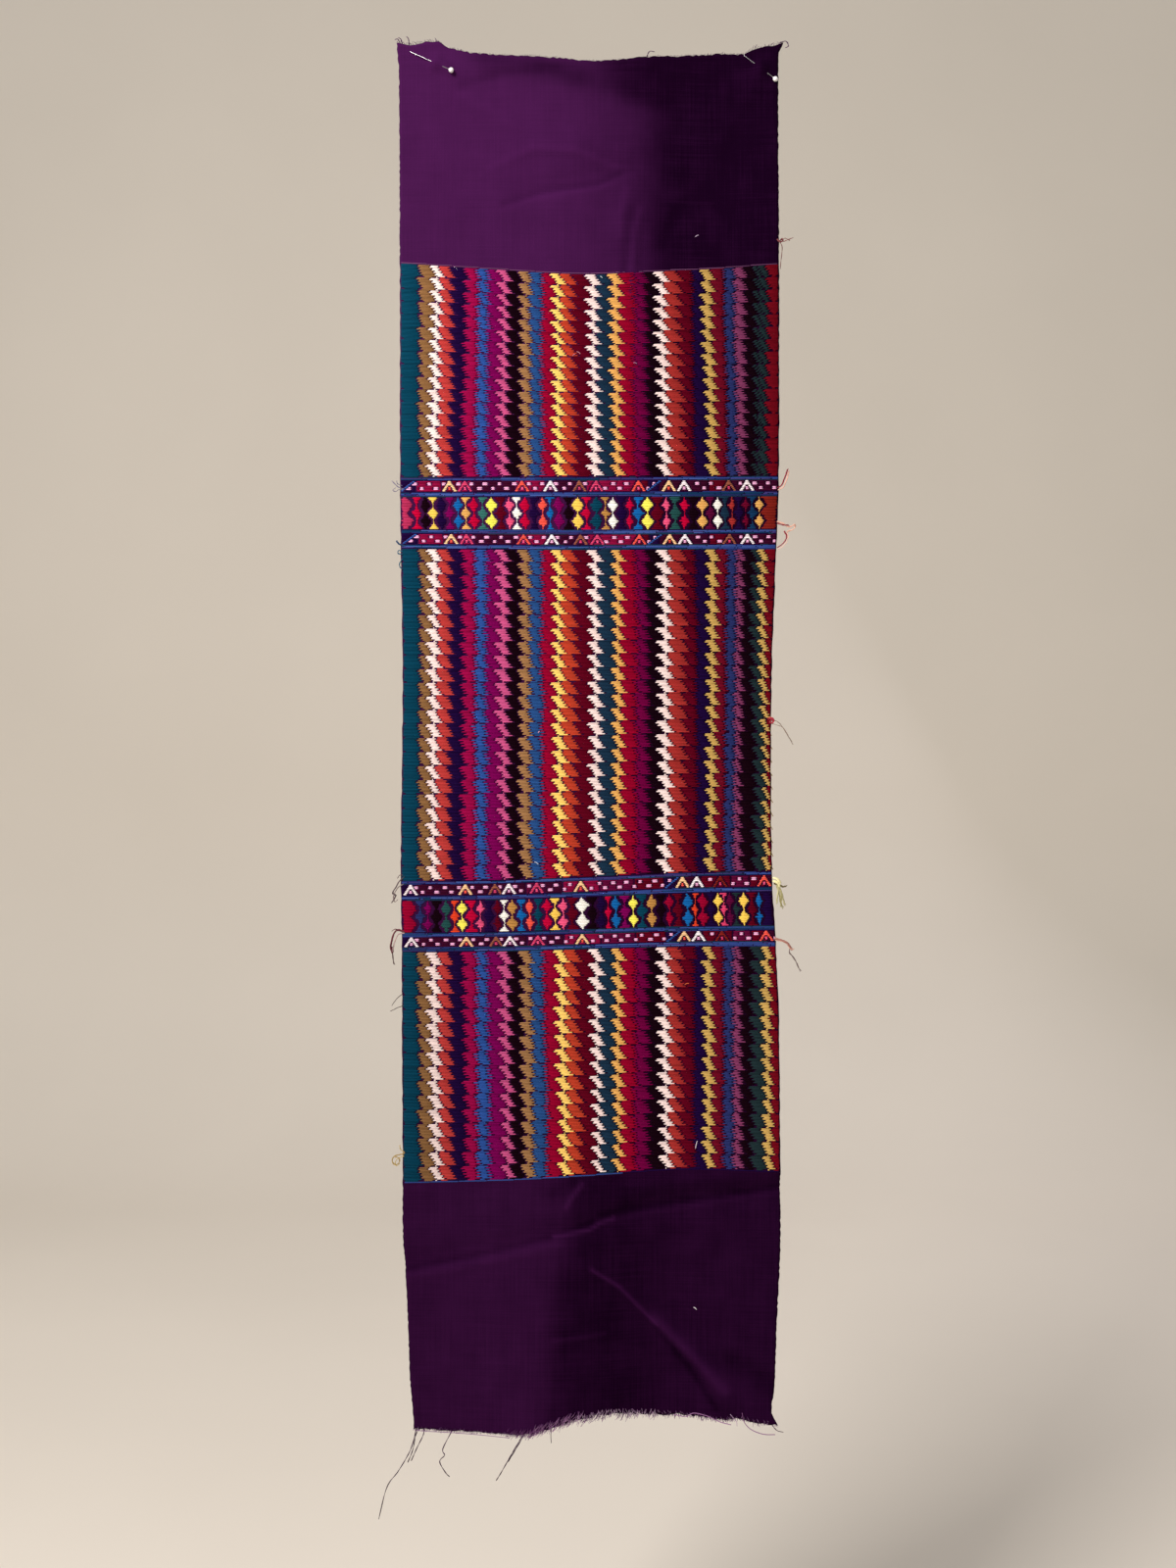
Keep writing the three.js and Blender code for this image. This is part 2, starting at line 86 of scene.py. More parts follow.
# Plain woven cotton, piece dyed purple and nearly matt. Its colour mixes a dark and a pale purple by painted
# light and shade at its points, and has streaks where warp and weft yarns differ in thickness.
def purpleCotton():
    look = {
        "dark": "#140117", "pale": "#431647",
        "streakWidth": 1.1, "weftFineness": 0.7, "streakLength": 60, "cloud": (26, 40, 30), "deep": 40,
        "threadSpacing": 0.9,  # real threads are 0.5 apart, too fine to show, so they are drawn coarser
        "bandScale": 0.314,  # gives the wave one band a unit
        "bumpDepth": 0.16,
    }
    finish = {"Roughness": 0.85, "IOR": 1.5, "Specular IOR Level": 0.01}
    material, tree, shader = newMaterial("plain woven purple cotton", finish)
    width, length, deep = look["streakWidth"], look["streakLength"], look["deep"]
    place = addNode(tree, "TexCoord").outputs["Object"]
    grains = [
        (3.0, (width, deep, length)),
        (3.0, (length, deep, width * look["weftFineness"])),
        (4.0, look["cloud"]),
    ]
    noises = []
    for detail, sizes in grains:
        grain = addNode(tree, "Mapping", {"Scale": grainScale(*sizes)}, {"Vector": place})
        noises.append(addNode(
            tree, "TexNoise", {"Scale": 1.0, "Detail": detail}, {"Vector": grain.outputs["Vector"]},
        ))
    warpStreaks, weftStreaks, clouds = noises
    streaks = addNode(
        tree, "Math", {"operation": "ADD"},
        {0: warpStreaks.outputs["Fac"], 1: weftStreaks.outputs["Fac"]},
    )
    uneven = addNode(tree, "Math", {"operation": "ADD"}, {0: streaks.outputs[0], 1: clouds.outputs["Fac"]})
    unevenness = addNode(
        tree, "MapRange",
        {"From Min": 1.05, "From Max": 1.95, "To Min": -0.13, "To Max": 0.13},
        {"Value": uneven.outputs[0]},
    )
    # painted light and shade of the cloth, one value a point: pale purple where painted lit, dark where
    # painted shaded
    paintedShading = addNode(tree, "Attribute", {"attribute_name": "paintedShading"})
    amount = addNode(
        tree, "Math", {"operation": "ADD", "use_clamp": True},
        {0: paintedShading.outputs["Fac"], 1: unevenness.outputs["Result"]},
    )
    colour = addNode(
        tree, "MixRGB", {"Color1": toLinear(look["dark"]), "Color2": toLinear(look["pale"])},
        {"Fac": amount.outputs[0]},
    )
    tree.links.new(colour.outputs[0], shader.inputs["Base Color"])

    spacing = look["threadSpacing"]
    threadGrain = addNode(
        tree, "Mapping", {"Scale": grainScale(spacing, deep, spacing)}, {"Vector": place},
    )
    bands = {"Scale": look["bandScale"], "Distortion": 0.6, "Detail": 1.0}
    warpThreads, weftThreads = [
        addNode(tree, "TexWave", {"bands_direction": way, **bands}, {"Vector": threadGrain.outputs["Vector"]})
        for way in "XZ"
    ]
    threads = addNode(
        tree, "Math", {"operation": "MULTIPLY"},
        {0: warpThreads.outputs["Fac"], 1: weftThreads.outputs["Fac"]},
    )
    height = addNode(tree, "Math", {"operation": "ADD"}, {0: threads.outputs[0], 1: streaks.outputs[0]})
    bump = addNode(
        tree, "Bump", {"Strength": 0.8, "Distance": look["bumpDepth"] * mm}, {"Height": height.outputs[0]},
    )
    tree.links.new(bump.outputs["Normal"], shader.inputs["Normal"])
    return material


# Soft spun cotton floss for the brocade and the loose ends. Each yarn is solid dyed, slightly lustrous
# along its fibres, and a little uneven in colour. The colour of each yarn comes from its own points.
def cottonFloss(name, fibreDirection):
    look = {
        "fibreWidth": 0.3,  # real fibres are finer than 0.02, so bundles of them are drawn
        "fibreLength": 4.0,
        "bumpDepth": 0.12,
    }
    finish = {"Roughness": 0.75, "IOR": 1.53, "Specular IOR Level": 0.03}
    material, tree, shader = newMaterial(name, finish)
    across, along = look["fibreWidth"], look["fibreLength"]
    sizes = {"level": (along, across, across), "upright": (across, across, along)}[fibreDirection]
    place = addNode(tree, "TexCoord")
    grain = addNode(tree, "Mapping", {"Scale": grainScale(*sizes)}, {"Vector": place.outputs["Object"]})
    fibres = addNode(tree, "TexNoise", {"Scale": 1.0, "Detail": 2.0}, {"Vector": grain.outputs["Vector"]})
    # the colour at each point is the yarn's dye, with painted light and shade multiplied in on the brocade
    # and a painted highlight on the hem fringe
    dye = addNode(tree, "Attribute", {"attribute_name": "dye"})
    shade = addNode(
        tree, "MapRange", {"From Min": 0.3, "From Max": 0.7, "To Min": 0.88, "To Max": 1.1},
        {"Value": fibres.outputs["Fac"]},
    )
    colour = addNode(
        tree, "VectorMath", {"operation": "SCALE"},
        {0: dye.outputs["Color"], "Scale": shade.outputs["Result"]},
    )
    tree.links.new(colour.outputs[0], shader.inputs["Base Color"])
    bump = addNode(
        tree, "Bump", {"Strength": 0.6, "Distance": look["bumpDepth"] * mm},
        {"Height": fibres.outputs["Fac"]},
    )
    tree.links.new(bump.outputs["Normal"], shader.inputs["Normal"])
    return material


# Mesh in metres from points in millimetres. Dyes are one colour a point, bake places one pair a corner.
def meshOf(name, points, faces, bakePlaces, dyes=None, paintedShading=None):
    mesh = bpy.data.meshes.new(name)
    mesh.from_pydata((np.asarray(points) * mm).tolist(), [], faces)
    mesh.shade_smooth()
    if dyes is not None:
        layer = mesh.attributes.new("dye", "FLOAT_COLOR", "POINT")
        layer.data.foreach_set("color", np.asarray(dyes, np.float32).ravel())
    # painted light and shade, one value a point
    if paintedShading is not None:
        layer = mesh.attributes.new("paintedShading", "FLOAT", "POINT")
        layer.data.foreach_set("value", np.asarray(paintedShading, np.float32).ravel())
    bakeMap = mesh.uv_layers.new(name="OFBake")
    bakeMap.data.foreach_set("uv", np.asarray(bakePlaces, np.float32).ravel())
    return mesh


def addPiece(name, mesh, material, replaced=()):
    mesh.materials.append(material)
    piece = bpy.data.objects.new(name, mesh)
    scene.collection.objects.link(piece)
    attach(piece, "root")
    if replaced:
        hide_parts(*replaced)
    print("made", name, "with", len(mesh.polygons), "faces")
    return piece


# Shape of the hanging cloth, the same as the solid's
hanging = {
    "thickness": 1.0,
    "topEdge": [
        [0, 17], [0.046, 15.4], [0.06, 17], [0.108, 17.4], [0.128, 12.8], [0.159, 10.2], [0.198, 7],
        [0.311, 4.3], [0.416, 2.4], [0.5, 0], [0.589, 1.3], [0.658, 3.6], [0.763, 5.3], [0.846, 8],
        [0.91, 8], [0.925, 11.4], [0.945, 13.6], [0.974, 14.6], [1, 17.5],
    ],
    "hem": [  # a little off the solid's, because the folds bring it nearer
        [0, -1186], [0.12, -1187], [0.225, -1187.8], [0.3, -1187.4], [0.352, -1184.6], [0.39, -1180.8],
        [0.43, -1177.2], [0.47, -1174.8], [0.545, -1172.4], [0.62, -1174.4], [0.72, -1177],
        [0.81, -1178.4], [0.86, -1179.6], [0.9, -1177.4], [0.94, -1179.5], [1, -1181],
    ],
    "weftLines": {
        "brocadeStart": [-176.0, -181.5, -185.7, -181.6, -176.8],
        "bandOneTop": [-361.4, -361.4, -361.3, -360.8, -360.2],
        "bandOneBottom": [-423.7, -424.4, -424.8, -424.3, -423.9],
        "bandTwoTop": [-711.5, -710.7, -707.9, -704.5, -702.8],
        "bandTwoBottom": [-773.5, -772.7, -770.6, -768.6, -768.2],
        "brocadeEnd": [-972.4, -969.8, -965.4, -960.6, -962.6],
    },
    # height, then the left and the right selvedge
    "selvedges": [
        [-1181, -151.8, 163.2], [-1170, -152.6, 158.0], [-1145, -155.0, 160.8], [-1100, -156.7, 162.2],
        [-1050, -159.0, 164.9], [-1020, -161.2, 166.0], [-965, -161.5, 165.8], [-840, -162.0, 164.9],
        [-765, -162.4, 162.0], [-700, -163.2, 158.6], [-545, -161.6, 158.2], [-425, -163.0, 162.4],
        [-365, -163.8, 164.6], [-176, -164.0, 164.9], [-8, -165.2, 164.6], [9, -166.6, 165.4],
        [17, -167.2, 169.0],
    ],
    # spread, then a path of x, z and height
    "folds": [
        [60, [[-172, 20, -4], [-168, -60, -2], [-166, -140, 0]]],  # left corner pinned back
        [60, [[172, 20, -4], [168, -60, -3], [166, -160, 0]]],  # right corner pinned back
        [9, [[-118, -9, 2.2], [-60, -4, 1.8], [-15, 1, 0]]],  # fold from the left pin
        [14, [[150, -10, 1.8], [96, -42, 0.6]]],  # fold from the right pin
        [11, [[-85, -82, 0], [-45, -74, 2.6], [-10, -74, 2.4], [38, -82, 0]]],  # pocket's ridge
        [10, [[-72, -117, 0], [-40, -110, -2.4], [10, -99, -2.2], [45, -96, 0]]],  # and its trough
        [11, [[42, -90, 0], [34, -130, 2.2], [30, -190, 1.4], [30, -240, 0]]],  # upright fold
        [42, [[112, -20, -5], [100, -110, -6], [110, -200, -2], [112, -280, 0]]],  # right hollow
        [80, [[-40, -230, 0], [-30, -330, 3], [-20, -480, 0]]],  # bellies of the three fields
        [70, [[60, -480, 0], [50, -600, 3.4], [40, -700, 0]]],
        [80, [[-60, -760, 0], [-60, -880, 3.6], [-40, -965, 2]]],
        [60, [[-30, -965, 1], [-36, -1080, 6], [-40, -1200, 11]]],  # lower ridge
        [44, [[60, -975, -1], [68, -1080, -6], [72, -1200, -10]]],  # lower hollow
        [34, [[166, -1010, 0], [162, -1100, 3], [164, -1200, 6]]],  # lower right edge
        [10, [[-168, -1044, -1.4], [-80, -1026, -2], [4, -1008, -3], [52, -993, -4.2], [170, -978, -3.6]]],
        [9, [[10, -986, 0], [60, -974, 2], [168, -962, 1.6]]],  # ridge over the slanting trough
        [8, [[-2, -1045, 1.2], [28, -1064, 3], [69, -1101, 3.6], [98, -1132, 3.4], [120, -1166, 2.4]]],
    ],
    "tuckHeight": 4.6,
    "tuckSpread": 6.5,
}
pins = {
    "left": {"head": (-119.2, -9.8), "tip": (-156.0, 9.0), "tuck": (-132.6, -2.0)},
    "right": {"head": (161.8, -15.5), "tip": (134.0, 6.8), "tuck": (149.4, -5.6)},
}


# Smooth curve through [place, value] points, straight past its ends.
def curveThrough(points):
    places, values = np.array(points, float).T
    order = np.arange(len(places))
    before, after = np.maximum(order - 1, 0), np.minimum(order + 1, len(places) - 1)
    slopes = (values[after] - values[before]) / (places[after] - places[before])

    def at(place):
        i = np.clip(np.searchsorted(places, place), 1, len(places) - 1)
        step = places[i] - places[i - 1]
        t = np.clip((place - places[i - 1]) / step, 0, 1)
        bend = t * (1 - t) * step * ((1 - t) * slopes[i - 1] - t * slopes[i])
        return values[i - 1] + (values[i] - values[i - 1]) * t * t * (3 - 2 * t) + bend
    return at


lines = {
    name: curveThrough([[i / 4, height] for i, height in enumerate(heights)])
    for name, heights in hanging["weftLines"].items()
}
lines["topEdge"] = curveThrough(hanging["topEdge"])
lines["hem"] = curveThrough(hanging["hem"])
leftSelvedge = curveThrough([[z, left] for z, left, right in hanging["selvedges"]])
rightSelvedge = curveThrough([[z, right] for z, left, right in hanging["selvedges"]])


# Distance from points to a path, and the path's height where it is nearest.
def nearestOnPath(path, x, z):
    nearest = np.full(np.shape(x), np.inf)
    height = np.zeros(np.shape(x))
    for (ax, az, aHeight), (bx, bz, bHeight) in zip(path, path[1:]):
        t = ((x - ax) * (bx - ax) + (z - az) * (bz - az)) / ((bx - ax) ** 2 + (bz - az) ** 2)
        t = np.clip(t, 0, 1)
        distance = np.hypot(x - ax - (bx - ax) * t, z - az - (bz - az) * t)
        closer = distance < nearest
        nearest = np.where(closer, distance, nearest)
        height = np.where(closer, aHeight + (bHeight - aHeight) * t, height)
    return nearest, height


# Finer creases than the solid has: spread, path of x, z and height, and the painted light along each,
# positive for a painted highlight and negative for painted shade
creases = [
    [3.2, [[-88, -93, 0], [-48, -77, 0.9], [-10, -79, 0.9], [30, -94, 0]], 0.10],  # lens shaped pocket
    [2.8, [[-75, -124, 0], [-40, -113, -1.1], [8, -106, -1.2], [30, -95, 0]], -0.16],
    [3.0, [[-75, -129, 0], [-40, -118, 0.6], [8, -111, 0.7], [36, -99, 0]], 0.08],
    [3.4, [[44, -128, 0], [40, -150, 1.1], [38, -176, 1.2], [36, -200, 0.8], [35, -232, 0]], 0.16],
    [3.2, [[32, -112, 0], [27, -135, 0.7], [26, -150, 0]], 0.10],
    [3.6, [[36, -128, 0], [33, -160, -0.9], [31, -186, -0.6], [30, -215, 0]], -0.12],
    [7.0, [[76, -130, -0.6], [66, -152, -1.8], [60, -160, 0]], -0.10],  # dent beside the upright fold
    [4.0, [[-113, -22, 0], [-78, -12, -0.9], [-28, -6, 0]], -0.14],  # drag line from the left pin
    [5.0, [[-108, -30, 0.8], [-60, -58, 0.5], [-20, -76, 0]], 0.05],
    [6.0, [[-60, -58, 0], [-40, -66, -0.6], [-28, -70, 0]], -0.05],
    [5.0, [[150, -12, 0.6], [120, -60, 1.0], [100, -110, 0]], 0.0],
    [4.2, [[-168, -1056, 0.7], [-112, -1046, 1.0], [-60, -1034, 0.9], [-24, -1024, 0]], 0.10],
    [2.4, [[-168, -1050, -0.4], [-90, -1034, -1.1], [-30, -1019, -0.9], [4, -1007, -0.6]], -0.13],
    [1.6, [[-30, -1019, 0.4], [0, -1014, 1.2], [10, -1008, 1.0], [22, -1004, 0]], 0.34],
    [2.4, [[20, -1007, 0.5], [52, -1000, 0.7], [96, -993, 0.8], [170, -981, 0.8]], 0.06],
    [3.0, [[10, -1002, -0.5], [52, -995, -0.8], [96, -988, -0.8], [170, -976, -0.6]], -0.10],
    [2.2, [[-6, -974, 0.9], [-14, -984, 1.1], [-20, -994, 0.3]], 0.30],  # short ridge under the brocade
    [1.7, [[2, -1047, 0.7], [26, -1062, 1.3], [45, -1082, 1.4], [58, -1096, 0.8]], 0.32],
    [5.4, [[56, -1092, 0.8], [84, -1119, 1.8], [104, -1139, 2.0], [118, -1153, 1.2]], 0.26],
    [3.0, [[52, -1092, 0], [78, -1124, -1.2], [96, -1148, -1.4], [110, -1170, -0.8]], -0.14],
    [2.2, [[-30, -1108, 0.5], [-8, -1106, 0.7], [14, -1103, 0.3]], 0.14],
    [9.0, [[124, -1128, -1.6], [150, -1140, -2.2], [168, -1150, -1.0]], -0.08],  # dent at the right edge
    [1.6, [[-150, -1126, 0.2], [-100, -1128, 0.4], [-60, -1127, 0.2]], 0.03],
    [4.5, [[-131, -3, 1.0], [-123.5, -6, 3.2]], 0],  # the cloth between the left pin's two holes
    [12.0, [[-92, 3, 0], [-45, -3, 0], [-10, -14, 0]], -0.36],  # painted shade under the top edge
    # painted shade only, the cloth is not raised here
    [9.0, [[-16, -970, 0], [-30, -980, 0]], -0.16],
]


# Soft falling off on both sides of a place
def bell(distance, spread):
    return np.exp(-((distance / spread) ** 2))


# Adds soft ridges and hollows to a height. Each has its spread and its path of x, z and height.
def addRidges(forward, ridges, x, z):
    for spread, path, *creasePaintedLight in ridges:
        distance, height = nearestOnPath(path, x, z)
        forward = forward + height * bell(distance, spread)
    return forward


# How far the solid's middle layer stands in front of the hanging plane.
def foldsAt(x, z, withoutTuck=None):
    forward = addRidges(np.zeros(np.shape(x)), hanging["folds"], x, z)
    for name, pin in pins.items():
        if name != withoutTuck:
            distance = np.hypot(x - pin["tuck"][0], z - pin["tuck"][1])
            forward = forward + hanging["tuckHeight"] * bell(distance, hanging["tuckSpread"])
    return forward


# The same with the finer creases
def forwardAt(x, z):
    return addRidges(foldsAt(x, z), creases, x, z)


# Place on the cloth from a share of its width and a height.
def onCloth(share, z):
    left, right = leftSelvedge(z), rightSelvedge(z)
    x = left + (right - left) * share
    return x, forwardAt(x, z)


def shareOf(x, z):
    left, right = leftSelvedge(z), rightSelvedge(z)
    return (x - left) / (right - left)


def between(a, b, share):
    return a + (b - a) * share


# How far down a height lies between a start and that start less a depth, from 0 to 1.
def shareDown(z, start, depth):
    return np.clip((start - z) / depth, 0, 1)


# Ground cloth: one closed sheet with a fine grid in its plain ends
def groundCloth():
    grid = {"columns": 120, "plainRows": (70, 86), "fieldRows": (36, 12, 52, 12, 36)}
    edge = {
        "wobble": 0.35,  # weft turns swell at the selvedges
        "topCut": (-0.9, 0.6), "hemCut": (-0.9, 0.7),  # cut ends are never quite straight
        "roughPlace": 0.64, "roughSpread": 0.14,  # and the hem's is roughest here
    }
    paintedSheen = {  # painted sheen and shade: places of its edge, and a start and a depth for each change on the way down
        "upperEdge": (10.0, 52.0), "upperChange": (-18, 30),
        "lowerEdge": (-13.0, -34.0), "lowerChange": (-980, 120),
        "change": (-200, 700), "back": 0.35,
    }
    names = ["topEdge", *hanging["weftLines"], "hem"]
    rowCounts = [grid["plainRows"][0], *grid["fieldRows"], grid["plainRows"][1]]
    share = np.linspace(0, 1, grid["columns"] + 1)
    rows = []
    for upper, lower, count in zip(names, names[1:], rowCounts):
        for step in range(count):
            rows.append(between(lines[upper](share), lines[lower](share), step / count))
    rows.append(lines["hem"](share))
    z = np.array(rows)
    rng = np.random.default_rng(5)
    z[0] += rng.uniform(*edge["topCut"], z.shape[1])
    rough = 1 + bell(share - edge["roughPlace"], edge["roughSpread"])
    z[-1] += rng.uniform(*edge["hemCut"], z.shape[1]) * rough
    x, forward = onCloth(np.broadcast_to(share, z.shape), z)
    for side in (0, -1):
        x[:, side] += rng.uniform(-1, 1, len(z)) * edge["wobble"]

    half = hanging["thickness"] / 2
    front = np.stack([x, -forward - half, z], -1).reshape(-1, 3)
    back = np.stack([x, -forward + half, z], -1).reshape(-1, 3)
    rowCount, columnCount = z.shape
    index = np.arange(rowCount * columnCount).reshape(z.shape)
    a, b, c, d = index[:-1, :-1], index[1:, :-1], index[1:, 1:], index[:-1, 1:]
    frontFaces = np.stack([a, b, c, d], -1).reshape(-1, 4)
    backFaces = np.stack([d, c, b, a], -1).reshape(-1, 4) + index.size
    loop = np.concatenate([index[0, :-1], index[:-1, -1], index[-1, :0:-1], index[:0:-1, 0]])
    after = np.roll(loop, -1)
    rimFaces = np.stack([loop, after, after + index.size, loop + index.size], -1)

    across, down = np.meshgrid(share, np.linspace(1, 0, rowCount))
    place = np.stack([between(0.02, 0.98, across), down], -1).reshape(-1, 2)
    frontPlaces = place[frontFaces] * [1, 0.66] + [0, 0.32]
    backPlaces = place[backFaces - index.size] * [1, 0.26] + [0, 0.02]
    start = np.linspace(0.02, 0.97, len(loop))
    step = start[1] - start[0]
    rimPlaces = np.stack([
        np.stack([start + step * side, np.full(len(loop), level)], -1)
        for side, level in ((0, 0.31), (1, 0.31), (1, 0.29), (0, 0.29))
    ], 1)

    # painted light and shade: pale on the left, darker in the hollows and to the right
    below = shareDown(z, *paintedSheen["upperChange"])
    upperEdge = between(*paintedSheen["upperEdge"], below * below * (3 - 2 * below))
    lowerEdge = between(*paintedSheen["lowerEdge"], shareDown(z, *paintedSheen["lowerChange"]))
    # amount of each falling off, its place and its softness, which is negative where it rises instead
    upper, lower = [
        least + sum(amount / (1 + np.exp((x - place) / soft)) for amount, place, soft in fallings)
        for least, fallings in (
            (0.02, [(0.50, upperEdge, 10), (0.30, -2, 16)]),
            (0.06, [(0.30, lowerEdge, 5), (0.10, 48, -9), (-0.06, -138, 8)]),
        )
    ]
    paintedShading = between(upper, lower, shareDown(z, *paintedSheen["change"]))
    for spread, path, creasePaintedLight in creases:
        distance, height = nearestOnPath(path, x, z)
        paintedShading += creasePaintedLight * bell(distance, spread)
    paintedShading = np.concatenate([paintedShading.ravel(), np.full(index.size, paintedSheen["back"])])

    mesh = meshOf(
        "groundCloth", np.concatenate([front, back]),
        np.concatenate([frontFaces, backFaces, rimFaces]).tolist(),
        np.concatenate([frontPlaces, backPlaces, rimPlaces]), paintedShading=paintedShading,
    )
    return addPiece("groundCloth", mesh, purpleCotton(), ["cloth_panel"])


ground = groundCloth()

# Dyes of the brocade yarns
dyes = {name: np.array(toLinear(colour)) for name, colour in {
    "teal": "#07425a", "shadedOchre": "#8e6741", "ochre": "#a57a50", "white": "#f8e2de", "orange": "#be3e3c",
    "navy": "#1d0539", "crimson": "#9e0849", "cherry": "#9b0330", "blue": "#2f55a1", "midBlue": "#29518c",
    "plum": "#7d0156", "deepPlum": "#70003f", "pink": "#cd578d", "black": "#15010c", "yellow": "#ffd675",
    "rustOrange": "#c0422b", "gold": "#e7b163", "maroon": "#60011b", "darkPlum": "#5c0738",
    "mauve": "#853b65", "darkGreen": "#1f3034", "green": "#38726c", "red": "#96022a",
    "darkTeal": "#193249", "mustard": "#cca85f", "wine": "#700a23", "denim": "#2b346c", "darkRed": "#74081a",
    "lilac": "#f2b2da", "lineBlue": "#364c92", "brightYellow": "#fdf264", "brick": "#a8322f",
    "peach": "#fed09c", "brown": "#9c5a44", "rose": "#dc4470", "deepRose": "#b8325e", "coral": "#f25a4c",
    "rust": "#82221a", "darkMaroon": "#3c0626", "mutedPink": "#6a4064", "raspberry": "#8a0a3c",
    "carmine": "#c4043a", "sunYellow": "#fcd25e", "bleached": "#fdfaf2", "pinkWhite": "#fff2f6",
    "hotPink": "#ee5a88", "brightBlue": "#1468b0", "slateBlue": "#14385f", "darkRose": "#6e052b",
    "oldGold": "#c08c4a", "deepGreen": "#245250", "flame": "#e24426", "wineRed": "#600836",
    "dullBlue": "#28326e", "paleBlue": "#465ea0", "violetBlue": "#423a78",
}.items()}

# Columns of the zigzag fields: dye, how far the column's right edge is from the middle line at six
# heights, two in each field, how far that edge swings either way, and how ragged it is
zigzagHeights = [-917, -819, -634, -493, -317, -230]
zigzagColumns = [
    ["teal", -146.5, -148.1, -147.4, -146.6, -147.4, -146.8, 1.8, 0.3],
    # ochre yarn darkened with painted shade
    ["shadedOchre", -135.6, -138.5, -138.3, -137.7, -138.4, -134.9, 2.9, 0.3],
    ["white", -128.1, -129.7, -130.9, -129.5, -130.1, -128.1, 2.9, 0.1],
    ["orange", -117.5, -119.4, -119.7, -119.3, -119.7, -117.9, 2.8, 0.2],
    ["navy", -107.6, -108.2, -109.4, -109.0, -109.3, -106.8, 2.4, 1.2],
    ["crimson", -96.6, -97.4, -98.2, -98.2, -97.9, -96.0, 1.6, 2.0],
    ["blue", -85.8, -87.5, -88.5, -88.7, -88.0, -86.9, 1.8, 2.0],
    ["plum", -73.2, -75.9, -77.3, -78.9, -77.8, -76.6, 3.2, 0.2],
    ["pink", -66.2, -68.7, -69.7, -69.8, -70.2, -69.5, 3, 0.1],
    ["black", -57.0, -58.8, -59.7, -59.5, -59.2, -59.0, 2.8, 0.2],
    ["ochre", -47.4, -48.9, -50.3, -50.6, -50.1, -50.9, 2.2, 0.9],
    ["midBlue", -36.6, -38.7, -39.6, -40.6, -39.8, -40.5, 1.5, 2.2],
    ["cherry", -24.5, -27.6, -29.2, -30.2, -30.2, -30.2, 3, 0.2],
    ["yellow", -16.7, -19.1, -21.1, -21.9, -22.3, -22.8, 3.3, 0.1],
    ["rustOrange", -5.5, -8.6, -9.9, -10.8, -11.5, -12.7, 3.3, 0.2],
    ["maroon", 5.7, 2.9, 2.8, 1.8, 0.7, -0.0, 3.3, 0.2],
    ["white", 11.4, 11.2, 10.2, 10.1, 9.3, 8.1, 3.2, 0.1],
    ["darkTeal", 22.6, 21.8, 21.9, 21.9, 21.1, 18.8, 2.7, 0.3],
    ["gold", 29.7, 29.2, 29.0, 29.7, 28.8, 27.5, 3.2, 0.1],
    ["red", 40.3, 40.8, 41.4, 41.9, 40.1, 40.2, 1.7, 1.4],
    ["deepPlum", 52.4, 51.5, 52.0, 50.8, 51.0, 50.0, 2.6, 1.2],
    ["black", 63.5, 61.4, 62.3, 62.0, 61.7, 59.4, 3.6, 0.2],
    ["white", 70.6, 69.8, 70.2, 70.8, 69.7, 67.1, 3.2, 0.1],
    ["brick", 81.5, 81.1, 83.1, 84.3, 82.5, 79.7, 3.3, 0.3],
    ["maroon", 91.6, 92.0, 94.1, 93.4, 91.2, 90.2, 1.4, 1.2],
    ["navy", 100.1, 100.0, 103.1, 103.7, 102.5, 99.3, 2.5, 0.2],
    ["mustard", 108.0, 108.0, 110.1, 111.6, 110.3, 107.4, 2.7, 0.3],
    ["wine", 116.7, 116.8, 117.8, 119.5, 119.6, 117.3, 1.1, 1.5],
    ["denim", 125.3, 125.1, 125.3, 127.3, 128.2, 126.3, 1.6, 1.6],
    ["mauve", 132.8, 132.8, 131.7, 133.6, 136.7, 135.8, 2.2, 0.8],
    ["black", 141.4, 140.9, 144.1, 140.4, 144.5, 144.3, 2.7, 0.4],
    ["darkGreen", 152.5, 151.0, 152.1, 147.9, 147.9, 148.5, 2.3, 0.3],
    ["mustard", 158.7, 158.3, 156.5, 153.4, 154.2, 155.0, 2.2, 0.3],
    ["darkRed", 170.0, 170.0, 170.0, 170.0, 170.0, 170.0, 0, 0],
]
lightDyes = {
    "white", "yellow", "gold", "pink", "mustard", "brightYellow", "peach", "sunYellow", "bleached", "lilac",
    "pinkWhite",
}
